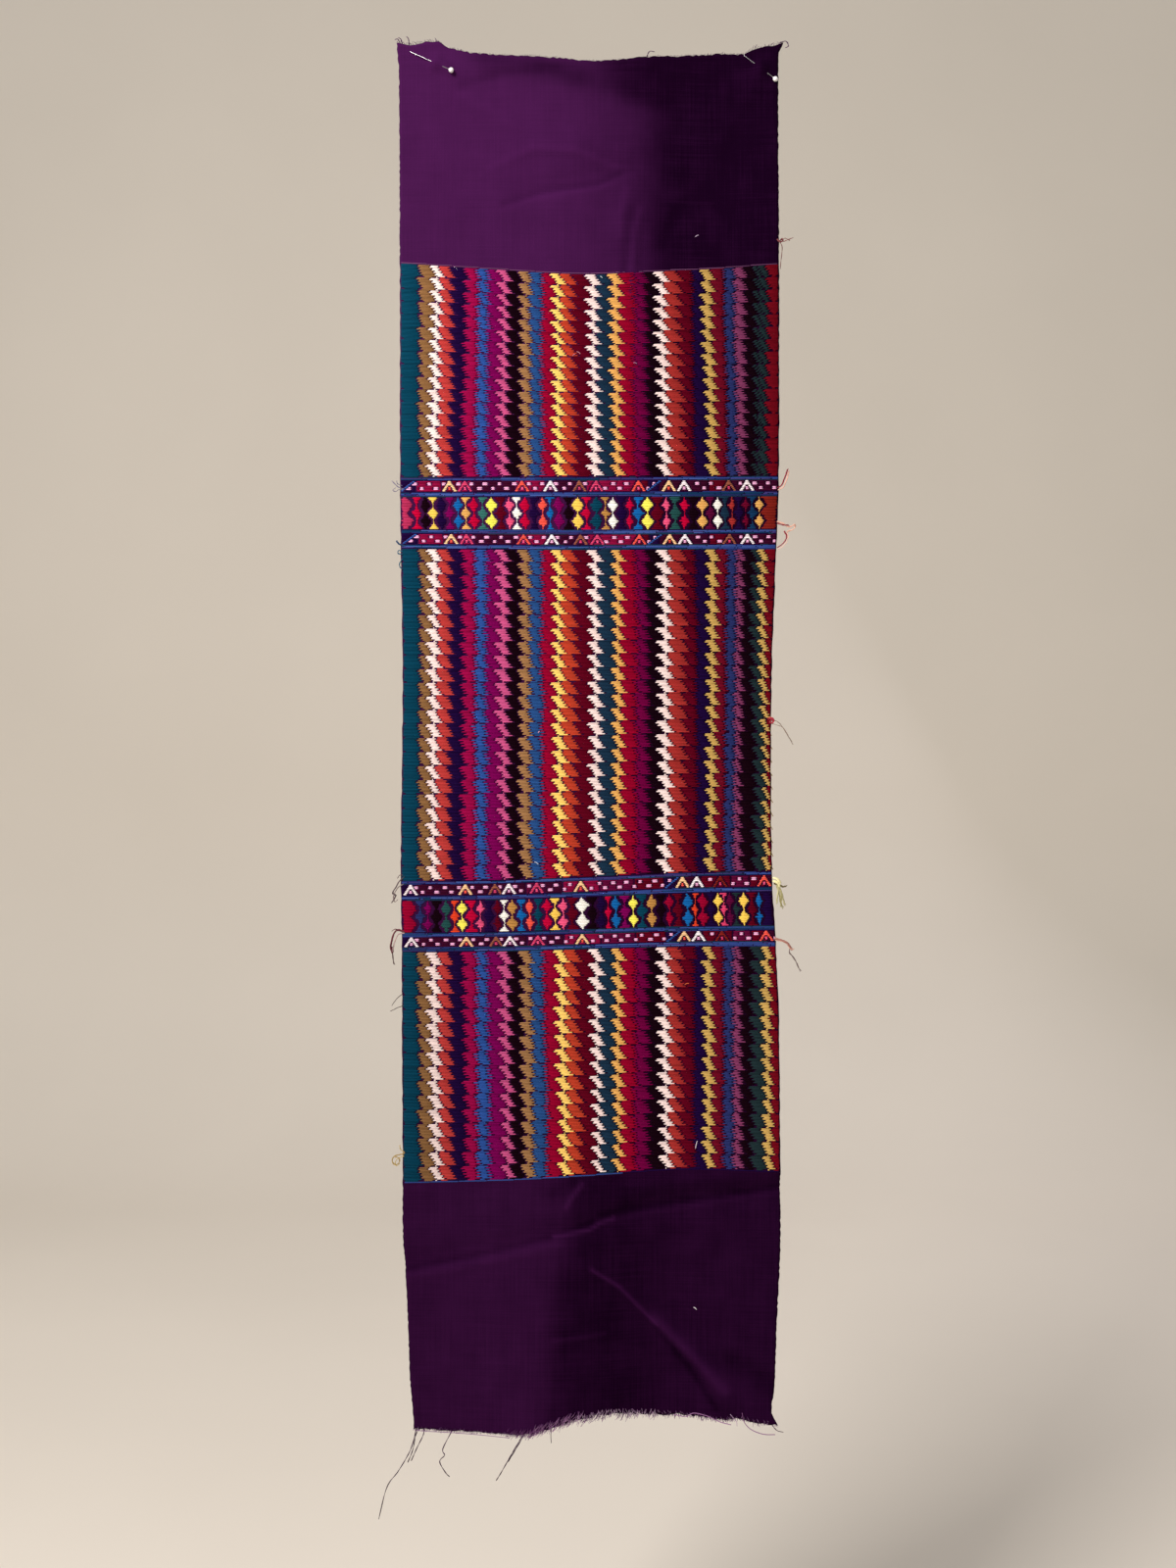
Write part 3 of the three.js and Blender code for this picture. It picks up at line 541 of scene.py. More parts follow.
# Where an edge lies at each of the five steps of a repeat, as a part of its swing, and how far the light
# yarn beside it spreads over it
edgeKinds = {
    "even": (0, [-1, -0.5, 0, 0.5, 1]),
    "lightOnRight": (-0.5, [-1, -0.35, 0.33, 0.72, 1]),
    "lightOnLeft": (0.5, [-1, -0.67, -0.1, 0.35, 1]),
}
yarn = {
    "sink": 0.05,  # the float's back lies this far in the ground cloth
    "endDip": 0.5,  # and its ends dive this far into it
    "tieDip": 0.25,  # or this far where it is only tied down on its way
    "endGap": 0.36,  # from a colour's edge to its own yarn, so the ground shows there
    "lightGap": 0.22,  # a light yarn hides more of it
    "tieGap": 0.05,
    "widestGap": 0.2,  # as a part of the float's length
    "gapSpread": (0.3, 1.9),
    "darkWiden": 1.7,  # where a pick's gaps are widened, a dark yarn's are widened this much more
    # A float turns down at its ends over this length, or over this share of a short float
    "turnLength": 1.0, "turnShare": 0.3,
    "clothWidth": 328.0,
    "endHeight": 0.4, "tiedHeight": 0.8,  # height of its ends, as a part of its own
    "backDip": 0.3,  # its back dives less than its face
    "fill": 0.97,  # height of a float as a part of the pick's height
    "shortest": 0.8,
    "longest": 24.0,  # a longer float is tied down on its way
    "tieWander": 1.5,
    "inset": 0.001,  # of the outermost yarns from the selvedges, as a part of the cloth's width
    # How the yarns differ from each other
    "lightTone": 0.05, "darkTone": 0.08, "palest": 1.05, "brightest": 0.95,
    "wander": 0.02, "fillSpread": (0.96, 1.02), "riseSpread": (0.92, 1.04),
}
# Painted light and shade on the brocade yarns: paler at the upper left and, lower down, at the right
paintedLightFalloff = {"top": -176, "depth": 796, "start": 1.02, "down": 0.1, "across": 0.14}
beyond = 172  # from the middle line to a place past either selvedge, where the cloth cuts a pick off


# Brocade: one closed yarn for each float. Every float has its share of the cloth's width at both ends,
# its height, the rise of its face and its dye.
def brocadeMesh(name, floats, zTop, zBottom):
    startShare, endShare, upperZ, lowerZ, fill, rise, colour, tied = (np.array(c) for c in zip(*floats))
    length = (endShare - startShare) * yarn["clothWidth"]
    turn = np.minimum(yarn["turnLength"], length * yarn["turnShare"]) / yarn["clothWidth"]
    stations = np.stack([startShare, startShare + turn, endShare - turn, endShare], -1)
    upper, lower = [between(ends[:, :1], ends[:, 1:], [[0, 0.2, 0.8, 1]]) for ends in (upperZ, lowerZ)]
    z = (upper + lower) / 2
    x, forward = onCloth(stations, z)
    full = np.ones(stations.shape)
    full[:, ::3] = between(yarn["endHeight"], yarn["tiedHeight"], tied)
    halfHeight = (upper - lower) / 2 * fill[:, None] * full
    face = -forward - hanging["thickness"] / 2
    dip = np.zeros(stations.shape)
    dip[:, ::3] = between(yarn["endDip"], yarn["tieDip"], tied)
    frontY = face - rise[:, None] + dip
    backY = face + yarn["sink"] + dip * yarn["backDip"]
    middleY = (frontY + backY) / 2
    corners = [
        np.stack([x, middleY, z + halfHeight], -1), np.stack([x, frontY, z], -1),
        np.stack([x, middleY, z - halfHeight], -1), np.stack([x, backY, z], -1),
    ]
    points = np.stack(corners, 2)  # float, station, corner, xyz
    count = len(points)
    corner = np.arange(4)
    after = (corner + 1) % 4
    side = np.stack([corner, after, 4 + after, 4 + corner], -1)
    pattern = np.concatenate([side, side + 4, side + 8, [[3, 2, 1, 0], [12, 13, 14, 15]]])
    faces = (pattern[None] + np.arange(count)[:, None, None] * 16).reshape(-1, 4)

    flat = points.reshape(count, 16, 3)
    place = np.stack([
        between(0.02, 0.98, (flat[..., 0] + beyond) / (2 * beyond)),
        (flat[..., 2] - zBottom + 1) / (zTop - zBottom + 2),
    ], -1)
    places = place[:, pattern]  # float, face, corner, uv
    onFront = np.isin(np.arange(len(pattern)), [0, 1, 4, 5, 8, 9, 12, 13])[:, None]
    level = places[..., 1]
    places[..., 1] = np.where(onFront, between(0.32, 0.98, level), between(0.02, 0.28, level))
    capSize = 0.0006  # on the map, where the ends have no width of their own
    spread = np.array([[0, 0], [1, 0], [1, 1], [0, 1]]) * capSize
    for cap, inward in ((12, capSize), (13, -2 * capSize)):
        places[:, cap] = places[:, cap, :1] + spread + [inward, 0]
    colours = np.repeat(colour, 16, axis=0)
    return meshOf(name, flat.reshape(-1, 3), faces.tolist(), places, dyes=colours)


# Adds the floats of one pick. Edges are distances from the middle line, with one dye between each two, or
# none where the ground stays bare.
def addPick(floats, upper, lower, top, bottom, edges, names, rise, fill, rng, shade=1, widen=0.0):
    middle = between(upper(0.5), lower(0.5), (top + bottom) / 2)
    down = shareDown(middle, paintedLightFalloff["top"], paintedLightFalloff["depth"])
    share = np.clip(shareOf(np.array(edges), middle), yarn["inset"], 1 - yarn["inset"])
    width = rightSelvedge(middle) - leftSelvedge(middle)
    for start, end, name in zip(share, share[1:], names):
        length = (end - start) * width
        if name is None or length < yarn["shortest"]:
            continue
        light = name in lightDyes
        gap = yarn["lightGap"] + widen if light else yarn["endGap"] + yarn["darkWiden"] * widen
        gap = min(gap, length * yarn["widestGap"]) / width
        parts = int(np.ceil(length / yarn["longest"]))
        cuts = np.linspace(start, end, parts + 1)
        cuts[1:-1] += rng.uniform(-yarn["tieWander"], yarn["tieWander"], parts - 1) / width
        for i, (a, b) in enumerate(zip(cuts, cuts[1:])):
            tied = np.array([i > 0, i < parts - 1])
            gaps = np.where(tied, yarn["tieGap"] / width, gap * rng.uniform(*yarn["gapSpread"], 2))
            ends = np.array([a + gaps[0], b - gaps[1]])
            upperZ, lowerZ = [between(upper(ends), lower(ends), row) for row in (top, bottom)]
            tone = rng.normal(1, yarn["lightTone" if light else "darkTone"])
            tone = min(tone * shade, yarn["palest"])
            # painted light and shade multiplied into the yarn's colour by its place
            tone *= paintedLightFalloff["start"] - paintedLightFalloff["down"] * down - paintedLightFalloff["across"] * (a + b - 1) * (1 - 2 * down)
            colour = np.append(np.minimum(dyes[name][:3] * tone, yarn["brightest"]), 1)
            wander = rng.normal(0, yarn["wander"], 2)
            floats.append((
                *ends, upperZ + wander[0], lowerZ + wander[1],
                fill * rng.uniform(*yarn["fillSpread"]), rise * rng.uniform(*yarn["riseSpread"]),
                colour, tied,
            ))


# Zigzag field: in each repeat the colour edges step to the right, then jump back. A step is two picks high.
def zigzagField(upper, lower, repeats, growth, laterYellow, seed):
    zigzag = {
        "steps": 5,
        "wander": 0.35, "kept": 0.5,  # of an edge from repeat to repeat, and how much of it stays
        "jitter": 0.2,  # and from step to step
        "teeth": 0.4, "raggedTeeth": 0.7, "teethSpread": (0.3, 1.3),
        "notch": [0.25, 0.8],  # wider gaps in the last two picks of a repeat
        "repeatGap": 0.015, "rise": 0.8, "firstShade": 0.96,
    }
    rng = np.random.default_rng(seed)
    names = [row[0] for row in zigzagColumns]
    if not laterYellow:
        names[-2] = "darkGreen"
    light = [name in lightDyes for name in names]
    kinds = [
        edgeKinds["even" if a == b else "lightOnLeft" if a else "lightOnRight"]
        for a, b in zip(light, light[1:])
    ]
    spreads = np.array([kind[0] for kind in kinds])
    steps = np.array([kind[1] for kind in kinds])
    swing = np.array([row[-2] for row in zigzagColumns[:-1]])
    ragged = np.array([row[-1] for row in zigzagColumns[:-1]])
    # the last pick of a repeat leaves only a neck of the paler yarn
    luminance = [0.21, 0.72, 0.07]
    tone = np.array([dyes[name][:3] @ luminance for name in names])
    neck = np.where(tone[:-1] > tone[1:], -1.0, 1.0)
    picks = 2 * zigzag["steps"]
    floats = []
    drift = np.zeros(len(swing))
    for repeat in range(repeats):
        drift = drift * zigzag["kept"] + rng.normal(0, zigzag["wander"], len(drift))
        for pick in range(picks):
            rows = np.array([pick, pick + 1]) / picks * (1 - zigzag["repeatGap"]) + repeat
            top, bottom = rows / repeats - growth * rows / repeats * (1 - rows / repeats)
            z = between(upper(0.5), lower(0.5), (top + bottom) / 2)
            step, ply = divmod(pick, 2)
            if ply == 0:
                jitter = rng.normal(0, zigzag["jitter"], len(swing))
            edges = np.array([np.interp(z, zigzagHeights, row[1:-2]) for row in zigzagColumns[:-1]])
            edges += drift + jitter + spreads + swing * (neck if pick == picks - 1 else steps[:, step])
            teeth = (ragged * zigzag["raggedTeeth"] + zigzag["teeth"]) * (1 - 2 * ply)
            edges += teeth * rng.uniform(*zigzag["teethSpread"], len(swing))
            edges = np.maximum.accumulate(np.concatenate([[-beyond], edges, [beyond]]))
            shade = zigzag["firstShade"] if pick == 0 else 1
            widen = zigzag["notch"][pick - picks] if pick >= picks - 2 else 0.0
            addPick(
                floats, upper, lower, top, bottom, edges, names, zigzag["rise"], yarn["fill"], rng,
                shade, widen,
            )
    return floats


brocadeFloss = cottonFloss("cotton floss in the brocade", "level")


def addField(name, floats):
    z = [height for f in floats for height in (*f[2], *f[3])]
    return addPiece(name, brocadeMesh(name, floats, max(z), min(z)), brocadeFloss)


# Upper and lower line, repeats, how much they grow downwards, whether the last mustard column is there, seed
fields = [
    ["brocadeStart", "bandOneTop", 17, 0, False, 31],
    ["bandOneBottom", "bandTwoTop", 24, 0.055, True, 32],
    ["bandTwoBottom", "brocadeEnd", 16, 0, True, 33],
]
fieldOne, fieldTwo, fieldThree = [
    zigzagField(lines[upper], lines[lower], *rest) for upper, lower, *rest in fields
]
fieldTwoMiddle = -566  # two pieces keep each mesh small
brocade = [
    addField("fieldOne", fieldOne),
    addField("fieldTwoUpper", [f for f in fieldTwo if f[2][0] > fieldTwoMiddle]),
    addField("fieldTwoLower", [f for f in fieldTwo if f[2][0] <= fieldTwoMiddle]),
    addField("fieldThree", fieldThree),
]

# Stripes of a border from the top: kind, share of its height, picks and rise
stripes = [
    ["line", 0.055, 4, 0.4], ["dotted", 0.145, 7, 0.6], ["line", 0.08, 5, 0.4], ["diamonds", 0.44, 21, 0.8],
    ["line", 0.07, 5, 0.4], ["dotted", 0.135, 7, 0.6], ["line", 0.075, 5, 0.4],
]
# Columns of the diamond bands: dye, and distance of the right edge from the middle line. The ground runs,
# chevrons and slashes lie in the dotted bands. Drift is how far a border slips to the right on its way
# down, at the left and at the right selvedge.
borderOne = {
    "columns": [
        ["deepRose", -152.2], ["carmine", -144.5], ["black", -138.5], ["sunYellow", -131.3], ["navy", -125.0],
        ["plum", -117.7], ["brightBlue", -110.1], ["gold", -103.3], ["carmine", -94.8], ["green", -88.8],
        ["brightYellow", -79.9], ["maroon", -73.1], ["hotPink", -65.9], ["bleached", -59.1],
        ["carmine", -50.6], ["navy", -44.2], ["coral", -35.7], ["brightBlue", -29.8], ["plum", -20.8],
        ["black", -14.0], ["sunYellow", -5.1], ["carmine", 2.5], ["teal", 10.6], ["oldGold", 17.0],
        ["bleached", 24.6], ["navy", 31.4], ["carmine", 39.5], ["brightBlue", 46.3], ["brightYellow", 55.2],
        ["maroon", 63.3], ["hotPink", 71.0], ["deepGreen", 78.6], ["carmine", 87.1], ["black", 94.3],
        ["gold", 102.4], ["darkPlum", 108.0], ["bleached", 115.2], ["darkTeal", 120.7], ["brick", 127.5],
        ["navy", 132.6], ["darkRose", 139.0], ["slateBlue", 144.5], ["gold", 150.9], ["rust", 172.0],
    ],
    "ground": [
        ["navy", -149], ["raspberry", -127], ["maroon", -113], ["raspberry", -101], ["darkMaroon", -63],
        ["raspberry", -37], ["darkMaroon", -2], ["raspberry", 42], ["maroon", 52], ["navy", 61],
        ["darkMaroon", 104], ["maroon", 122], ["darkMaroon", 172],
    ],
    "chevrons": [
        ["peach", -120.1], ["rose", -106.7], ["coral", -57.2], ["pinkWhite", -32.7], ["brown", -7.7],
        ["rose", 6.8], ["coral", 43.4], ["peach", 69.7], ["pinkWhite", 82.9], ["brown", 121.6],
        ["pinkWhite", 137.3],
    ],
    "slashes": [-158, 55],
    "firstDot": -119.0,
    "drift": (2.4, 0.5),
}
borderTwo = {
    "columns": [
        ["cherry", -149.2], ["denim", -143.7], ["plum", -135.6], ["black", -128.8], ["deepGreen", -120.7],
        ["flame", -113.9], ["brightYellow", -106.2], ["carmine", -98.2], ["hotPink", -90.5], ["navy", -83.3],
        ["maroon", -76.9], ["bleached", -70.1], ["oldGold", -61.6], ["brightBlue", -55.7], ["coral", -47.2],
        ["teal", -40.8], ["carmine", -33.1], ["sunYellow", -25.5], ["hotPink", -17.8], ["maroon", -10.6],
        ["bleached", -0.8], ["black", 6.0], ["navy", 13.2], ["carmine", 20.4], ["brightBlue", 28.1],
        ["plum", 34.9], ["brightYellow", 42.1], ["teal", 49.7], ["oldGold", 59.5], ["black", 65.5],
        ["cherry", 74.4], ["maroon", 80.8], ["brightBlue", 89.2], ["flame", 95.6], ["cherry", 104.1],
        ["navy", 108.8], ["sunYellow", 115.6], ["rose", 120.7], ["darkPlum", 126.2], ["darkGreen", 130.5],
        ["sunYellow", 138.5], ["maroon", 144.5], ["brightBlue", 151.3], ["navy", 172.0],
    ],
    "ground": [
        ["navy", -150], ["darkMaroon", -128], ["darkMaroon", -54], ["wineRed", -38], ["darkMaroon", -22],
        ["raspberry", 10], ["wineRed", 40], ["maroon", 66], ["navy", 76], ["darkMaroon", 98],
        ["maroon", 124], ["wineRed", 140], ["maroon", 154], ["darkMaroon", 172],
    ],
    "chevrons": [
        ["pinkWhite", -154.3], ["peach", -106.8], ["brown", -81.0], ["pinkWhite", -68.9], ["rose", -44.8],
        ["peach", -6.4], ["peach", 82.0], ["pinkWhite", 94.4], ["rust", 114.8], ["coral", 153.0],
    ],
    "slashes": [71],
    "firstDot": -118.8,
    "drift": (1.0, 2.4),
}
dotted = {
    "pitch": 12.2, "dots": range(-3, 24),
    # Width, place and their unevenness, which comes round at these angles from dot to dot
    "dotWidth": 4.5, "widthSpread": 0.16, "widthAngle": 3.7, "stray": 0.7, "strayAngles": (7.3, 5.1),
    "upperPicks": (1, 2), "lowerPicks": (4, 5),
    "upperRoom": 4.4, "lowerRoom": 7,  # a chevron nearer than this takes a dot's place
    "stroke": 3.4, "reach": 4.9,  # of a chevron's arms
    "insideWidth": 3.2,
    "inside": {  # dye under a chevron's point
        "pinkWhite": "lilac", "rose": "hotPink", "peach": "coral", "coral": "hotPink", "brown": "rose",
        "rust": "rose",
    },
    "slashWidth": 3.5, "slashStart": 6.75, "slashReach": 10,
}


# Colour edges and dyes of one pick, from runs painted over each other
def paintPick(runs):
    places = sorted({place for start, end, name in runs for place in (start, end)})
    edges, names = [places[0]], []
    for a, b in zip(places, places[1:]):
        name = [dye for start, end, dye in runs if start < (a + b) / 2 < end][-1]
        if names and names[-1] == name:
            edges[-1] = b
        else:
            names.append(name)
            edges.append(b)
    return edges, names


def dottedPick(border, pick, picks):
    ends = [-beyond, *(end for name, end in border["ground"])]
    runs = [(start, end, name) for start, (name, end) in zip(ends, border["ground"])]

    def addRun(centre, width, name):
        runs.append((centre - width / 2, centre + width / 2, name))

    lowAngle, highAngle = dotted["strayAngles"]
    for n in dotted["dots"]:
        low = border["firstDot"] + n * dotted["pitch"]
        width = dotted["dotWidth"] * (1 + dotted["widthSpread"] * np.sin(dotted["widthAngle"] * n))
        strays = dotted["stray"] * np.sin([lowAngle * n, highAngle * n + 1])
        for row, place, stray in zip(("lower", "upper"), (low, low + dotted["pitch"] / 2), strays):
            room = min(abs(place - x) for name, x in border["chevrons"])
            if pick in dotted[row + "Picks"] and room > dotted[row + "Room"]:
                addRun(place + stray, width, "lilac")
    share = pick / (picks - 1)
    for x in border["slashes"]:
        addRun(x + dotted["slashStart"] - dotted["slashReach"] * share, dotted["slashWidth"], "blue")
    for name, x in border["chevrons"]:
        for side in (-1, 1):
            addRun(x + side * share * dotted["reach"], dotted["stroke"], name)
        if pick in dotted["lowerPicks"]:
            addRun(x, dotted["insideWidth"], dotted["inside"][name])
    runs = [(round(max(a, -beyond), 2), round(min(b, beyond), 2), name) for a, b, name in runs]
    return paintPick([run for run in runs if run[0] < run[1]])


diamonds = {
    "swing": {"light": 2.4, "other": 2.0},  # of the edges
    "shrink": {"light": 0.5, "other": 0.9},  # of the paler of two yarns
    "waist": 1.1,  # how much narrower a bright column is at its necks, so that the ground shows
    "neck": 0.7,  # half of the least width there
    "wander": 0.2,
    "backgrounds": {"black", "navy", "maroon", "darkPlum", "darkTeal", "rust"},
}
mottle = {
    "runs": 16,
    "outer": ["navy", "dullBlue", "darkTeal", "navy"],
    "inner": ["lineBlue", "dullBlue", "paleBlue", "slateBlue", "violetBlue", "lineBlue"],
}
driftEdge = 160  # from the middle line to the places where a border's drift is given
# How much wider the gaps between the yarns are than in the fields
borderWiden = {"line": -0.2, "dotted": 0.0, "diamonds": 0.4}


# A blue line changes its dye at random places.
def linePick(pick, picks, rng):
    edges = [-beyond, *np.sort(rng.uniform(-beyond, beyond, mottle["runs"] - 1)), beyond]
    return edges, list(rng.choice(mottle["outer" if pick in (0, picks - 1) else "inner"], mottle["runs"]))


# Columns of diamonds: every second one is widest where the others have their necks.
def diamondPick(border, pick, picks, rng):
    wave = 1 - 4 * abs((2 * (pick + 0.5) / picks) % 1 - 0.5)
    names = [name for name, right in border["columns"]]
    paleness = [dyes[name][:3].sum() for name in names] + [0]
    edges = [-beyond]
    for i, (name, right) in enumerate(border["columns"]):
        kind = "light" if lightDyes & set(names[i:i + 2]) else "other"
        side = diamonds["swing"][kind] * wave * (-1) ** i
        side += diamonds["shrink"][kind] * np.sign(paleness[i + 1] - paleness[i])
        edges.append(right + side + rng.normal(0, diamonds["wander"]))
    edges[-1] = beyond
    spans, parts = [], []
    for i, (name, left, right) in enumerate(zip(names, edges, edges[1:])):
        inset = diamonds["waist"] * (1 - wave * (-1) ** i) / 2
        inset = min(inset, max((right - left) / 2 - diamonds["neck"], 0))
        inset = 0 if name in diamonds["backgrounds"] else inset
        spans += [left + inset, right - inset]
        parts += [name, None]
    return spans, parts[:-1]


def bandedBorder(border, upper, lower, seed):
    rng = np.random.default_rng(seed)
    floats = []
    start = 0
    for stripe, share, picks, rise in stripes:
        for pick in range(picks):
            top = start + share * pick / picks
            bottom = start + share * (pick + 1) / picks
            if stripe == "line":
                edges, names = linePick(pick, picks, rng)
            elif stripe == "dotted":
                edges, names = dottedPick(border, pick, picks)
            else:
                edges, names = diamondPick(border, pick, picks, rng)
            slip = between(*border["drift"], np.clip((np.array(edges) + driftEdge) / (2 * driftEdge), 0, 1))
            slipped = np.array(edges) + slip * ((top + bottom) / 2 - 0.5)
            addPick(
                floats, upper, lower, top, bottom, slipped, names, rise, yarn["fill"], rng,
                widen=borderWiden[stripe],
            )
        start += share
    return floats


for name, border, seed in (("One", borderOne, 41), ("Two", borderTwo, 42)):
    upper, lower = lines[f"band{name}Top"], lines[f"band{name}Bottom"]
    brocade.append(addField("bandedBorder" + name, bandedBorder(border, upper, lower, seed)))


# Thin weft lines above and below the brocade: the line beside them, how far above it the rows start and
# end, how much of that is used, colour edges, dyes, rise and fill
edgeRows = [
    ["brocadeStart", 1.5, 0, 0.7, [-164, 164], ["mutedPink"], 0.25, 0.8],
    ["brocadeEnd", 0, -1.1, 1, [-beyond, 30, beyond], ["lineBlue", "navy"], 0.3, 1],
]


def edgeLines():
    rng = np.random.default_rng(43)
    floats = []
    for name, top, bottom, used, edges, names, rise, fill in edgeRows:
        upper, lower = [lambda share, at=at: lines[name](share) + at for at in (top, bottom)]
        addPick(floats, upper, lower, 0, used, edges, names, rise, fill, rng)
    return floats


brocade.append(addField("edgeLines", edgeLines()))


def smoothPath(points, count):
    points = np.array(points, float)
    places = np.linspace(0, len(points) - 1, count)
    return np.stack([
        curveThrough([[i, point[axis]] for i, point in enumerate(points)])(places) for axis in range(3)
    ], -1)


# Closed yarns along paths. A thread has its path, its width at each point and its colour at each point.
# On the bake map each has a lane of its own, and its caps lie in that lane's ends.
def threadMesh(name, threads, sides=4):
    layout = {"laneGap": 0.05, "top": 0.98, "bottom": 0.02, "capHeight": 0.012}
    steep = 0.75  # a thread steeper than this towards the viewer takes its sides from another axis
    points, faces, places, colours = [], [], [], []
    angle = np.arange(sides) * 2 * np.pi / sides
    cosine, sine = np.cos(angle)[:, None], np.sin(angle)[:, None]
    count = 0
    for i, (path, widths, tints) in enumerate(threads):
        path = np.asarray(path, float)
        stations = len(path)
        along = np.gradient(path, axis=0)
        along /= np.linalg.norm(along, axis=1)[:, None]
        helper = np.where(np.abs(along[:, 1:2]) < steep, [[0.0, 1.0, 0.0]], [[1.0, 0.0, 0.0]])
        sideways = np.cross(along, helper)
        sideways /= np.linalg.norm(sideways, axis=1)[:, None]
        outward = np.cross(sideways, along)
        ring = cosine * sideways[:, None] + sine * outward[:, None]
        widths = np.broadcast_to(widths, stations)
        points.append((path[:, None] + ring * widths[:, None, None] / 2).reshape(-1, 3))
        colours.append(np.repeat(np.broadcast_to(tints, (stations, 4)), sides, axis=0))
        laneWidth = 1 - 2 * layout["laneGap"]
        lane = (i + layout["laneGap"] + laneWidth * np.arange(sides + 1) / sides) / len(threads)
        down = np.linspace(layout["top"], layout["bottom"], stations)
        for s in range(stations - 1):
            for c in range(sides):
                a, b = count + s * sides + c, count + s * sides + (c + 1) % sides
                faces.append((a, b, b + sides, a + sides))
                places += [(lane[c], down[s]), (lane[c + 1], down[s]),
                           (lane[c + 1], down[s + 1]), (lane[c], down[s + 1])]
        for base, way in ((count, -1), (count + (stations - 1) * sides, 1)):
            faces.append(tuple(base + c for c in range(sides))[::way])
            level = down[0] if way < 0 else down[-1]
            across = lane[0] + (lane[-1] - lane[0]) * (np.cos(angle) / 2 + 0.5)
            places += list(zip(across[::way], level + layout["capHeight"] * np.sin(angle[::way])))
        count += stations * sides
    return meshOf(name, np.concatenate(points), faces, places, dyes=np.concatenate(colours))


# Colours from one to another along a thread
def fade(start, end, count):
    first, last = np.array(toLinear(start)), np.array(toLinear(end))
    return between(first, last, np.linspace(0, 1, count)[:, None])


def shaded(colour, tone):
    return colour * [tone, tone, tone, 1]


frayed = cottonFloss("frayed cotton yarn ends", "upright")

# Frayed ends of the warp. Lengths are by share of the width, and leans are sideways by length. Long ends
# are steps of x, z and y from their root. Over are hairs that lie on the cloth: from and to share, count,
# length, lean and colours. Weft are weft yarns that have come loose: colour, width, and path of x and z.
topFray = {
    "count": 330, "lengths": [[0, 2.4], [0.12, 1.8], [0.2, 1.1], [0.8, 1.2], [0.9, 2.0], [1, 2.6]],
    "leans": [[0, -0.5], [0.5, 0.0], [1, 0.5]], "width": 0.42, "seed": 61,
    "root": "#2a0c30", "end": "#4a2450", "longEnd": "#5d3a62",
    "long": [
        [0.008, [[-2, 3, 0], [-4, 2, -1]]], [0.014, [[-1, 3, 0], [-3, 4, -1]]],
        [0.032, [[-0.5, 4, 0], [-2, 5.5, -1]]], [0.655, [[2, 3.4, -1], [6, 3, -1]]],
        [0.992, [[5, 1.4, 0], [7, -3, -1], [4.6, -4.8, -1]]],
    ],
    "over": [], "weft": [],
}
# The hem fringe's pale lilac ends and pale hairs are painted highlight where light catches the fringe.
hemFray = {
    "count": 520,
    "lengths": [[0, 2.2], [0.2, 2.2], [0.3, 3], [0.4, 4.5], [0.55, 5], [0.62, 5], [0.75, 3.2], [1, 2.4]],
    "leans": [[0, -0.1], [0.25, -0.4], [0.4, -0.8], [0.55, -0.3], [0.7, 0], [1, 0.2]], "width": 0.6,
    "seed": 62, "root": "#43194a", "end": "#9a789c", "longEnd": "#4a3a44",
    "long": [
        [0.006, [[-4, -15, -1], [-9, -25, -2], [-16, -36, -3], [-25, -48.5, -4], [-32, -76, -4]]],
        [0.012, [[-2.6, -6, 1], [-5, -18, 0], [-9, -28, -1]]],
        [0.028, [[-1, -5, 0], [-6, -15, -1], [-11, -26, -2]]],
        [0.104, [[-7.6, -15, -1], [-5.9, -20, -2], [-10.2, -25.5, -2], [-5.1, -35, -2], [-1.7, -39, -1]]],
        [0.3, [[-8, -13, -2], [-13, -21.5, -3], [-19, -32, -3], [-22.6, -38, -2]]],
        [0.303, [[-7, -12, -1], [-13.4, -22, -2]]], [0.985, [[4, -4, -1], [9, -5, -2]]],
    ],
    "over": [
        [0.01, 0.3, 90, 2.6, -0.3, "#4a1e50", "#90689a"], [0.27, 0.36, 60, 6, -0.5, "#4a1850", "#9a6098"],
        [0.33, 0.48, 130, 8, -0.45, "#5a2460", "#b88ab4"], [0.46, 0.68, 150, 5, -0.1, "#8a5a8c", "#dcc8da"],
        [0.66, 0.98, 90, 4, 0.2, "#5a2a60", "#b08cae"],
    ],
    "weft": [
        ["#8d6a90", 0.6,
         [[-149.6, -1187.5], [-136.8, -1188.3], [-111.3, -1189.1], [-85.8, -1190], [-68.8, -1190.8]]],
        ["#9a6a98", 0.8, [
            [74, -1177.2], [84.1, -1179], [91, -1175.5], [102.8, -1177.2], [113.9, -1181.5],
            [123.2, -1183.2]]],
        ["#8a5a88", 0.8,
         [[132.6, -1172.1], [134.3, -1179.8], [140.2, -1185.8], [150.4, -1189.1], [160.7, -1189.1]]],
        ["#c0a0c0", 0.6, [[122.4, -1173.8], [127.5, -1179.8], [128.3, -1184]]],
        ["#2e1430", 0.7, [[-32.7, -1181.5], [-32.9, -1188.3], [-32.5, -1194.2]]],
    ],
}
strand = {
    "steps": 5,
    "rootDepth": 0.8,  # inside the cloth's edge
    "place": (0.1, 0.9), "margin": 0.003,
    "clumps": 60, "clumpSpread": (0.15, 1.55),  # lengths go up and down together in clumps
    "shortest": 0.9, "lengthSpread": (0.45, 1.1),
    "leanSpread": 0.25, "curl": 0.12, "depth": (-0.35, 0.15), "droop": 0.12,
    "widthSpread": (0.7, 1.1), "taper": 0.35, "toneSpread": (0.8, 1.15),
}
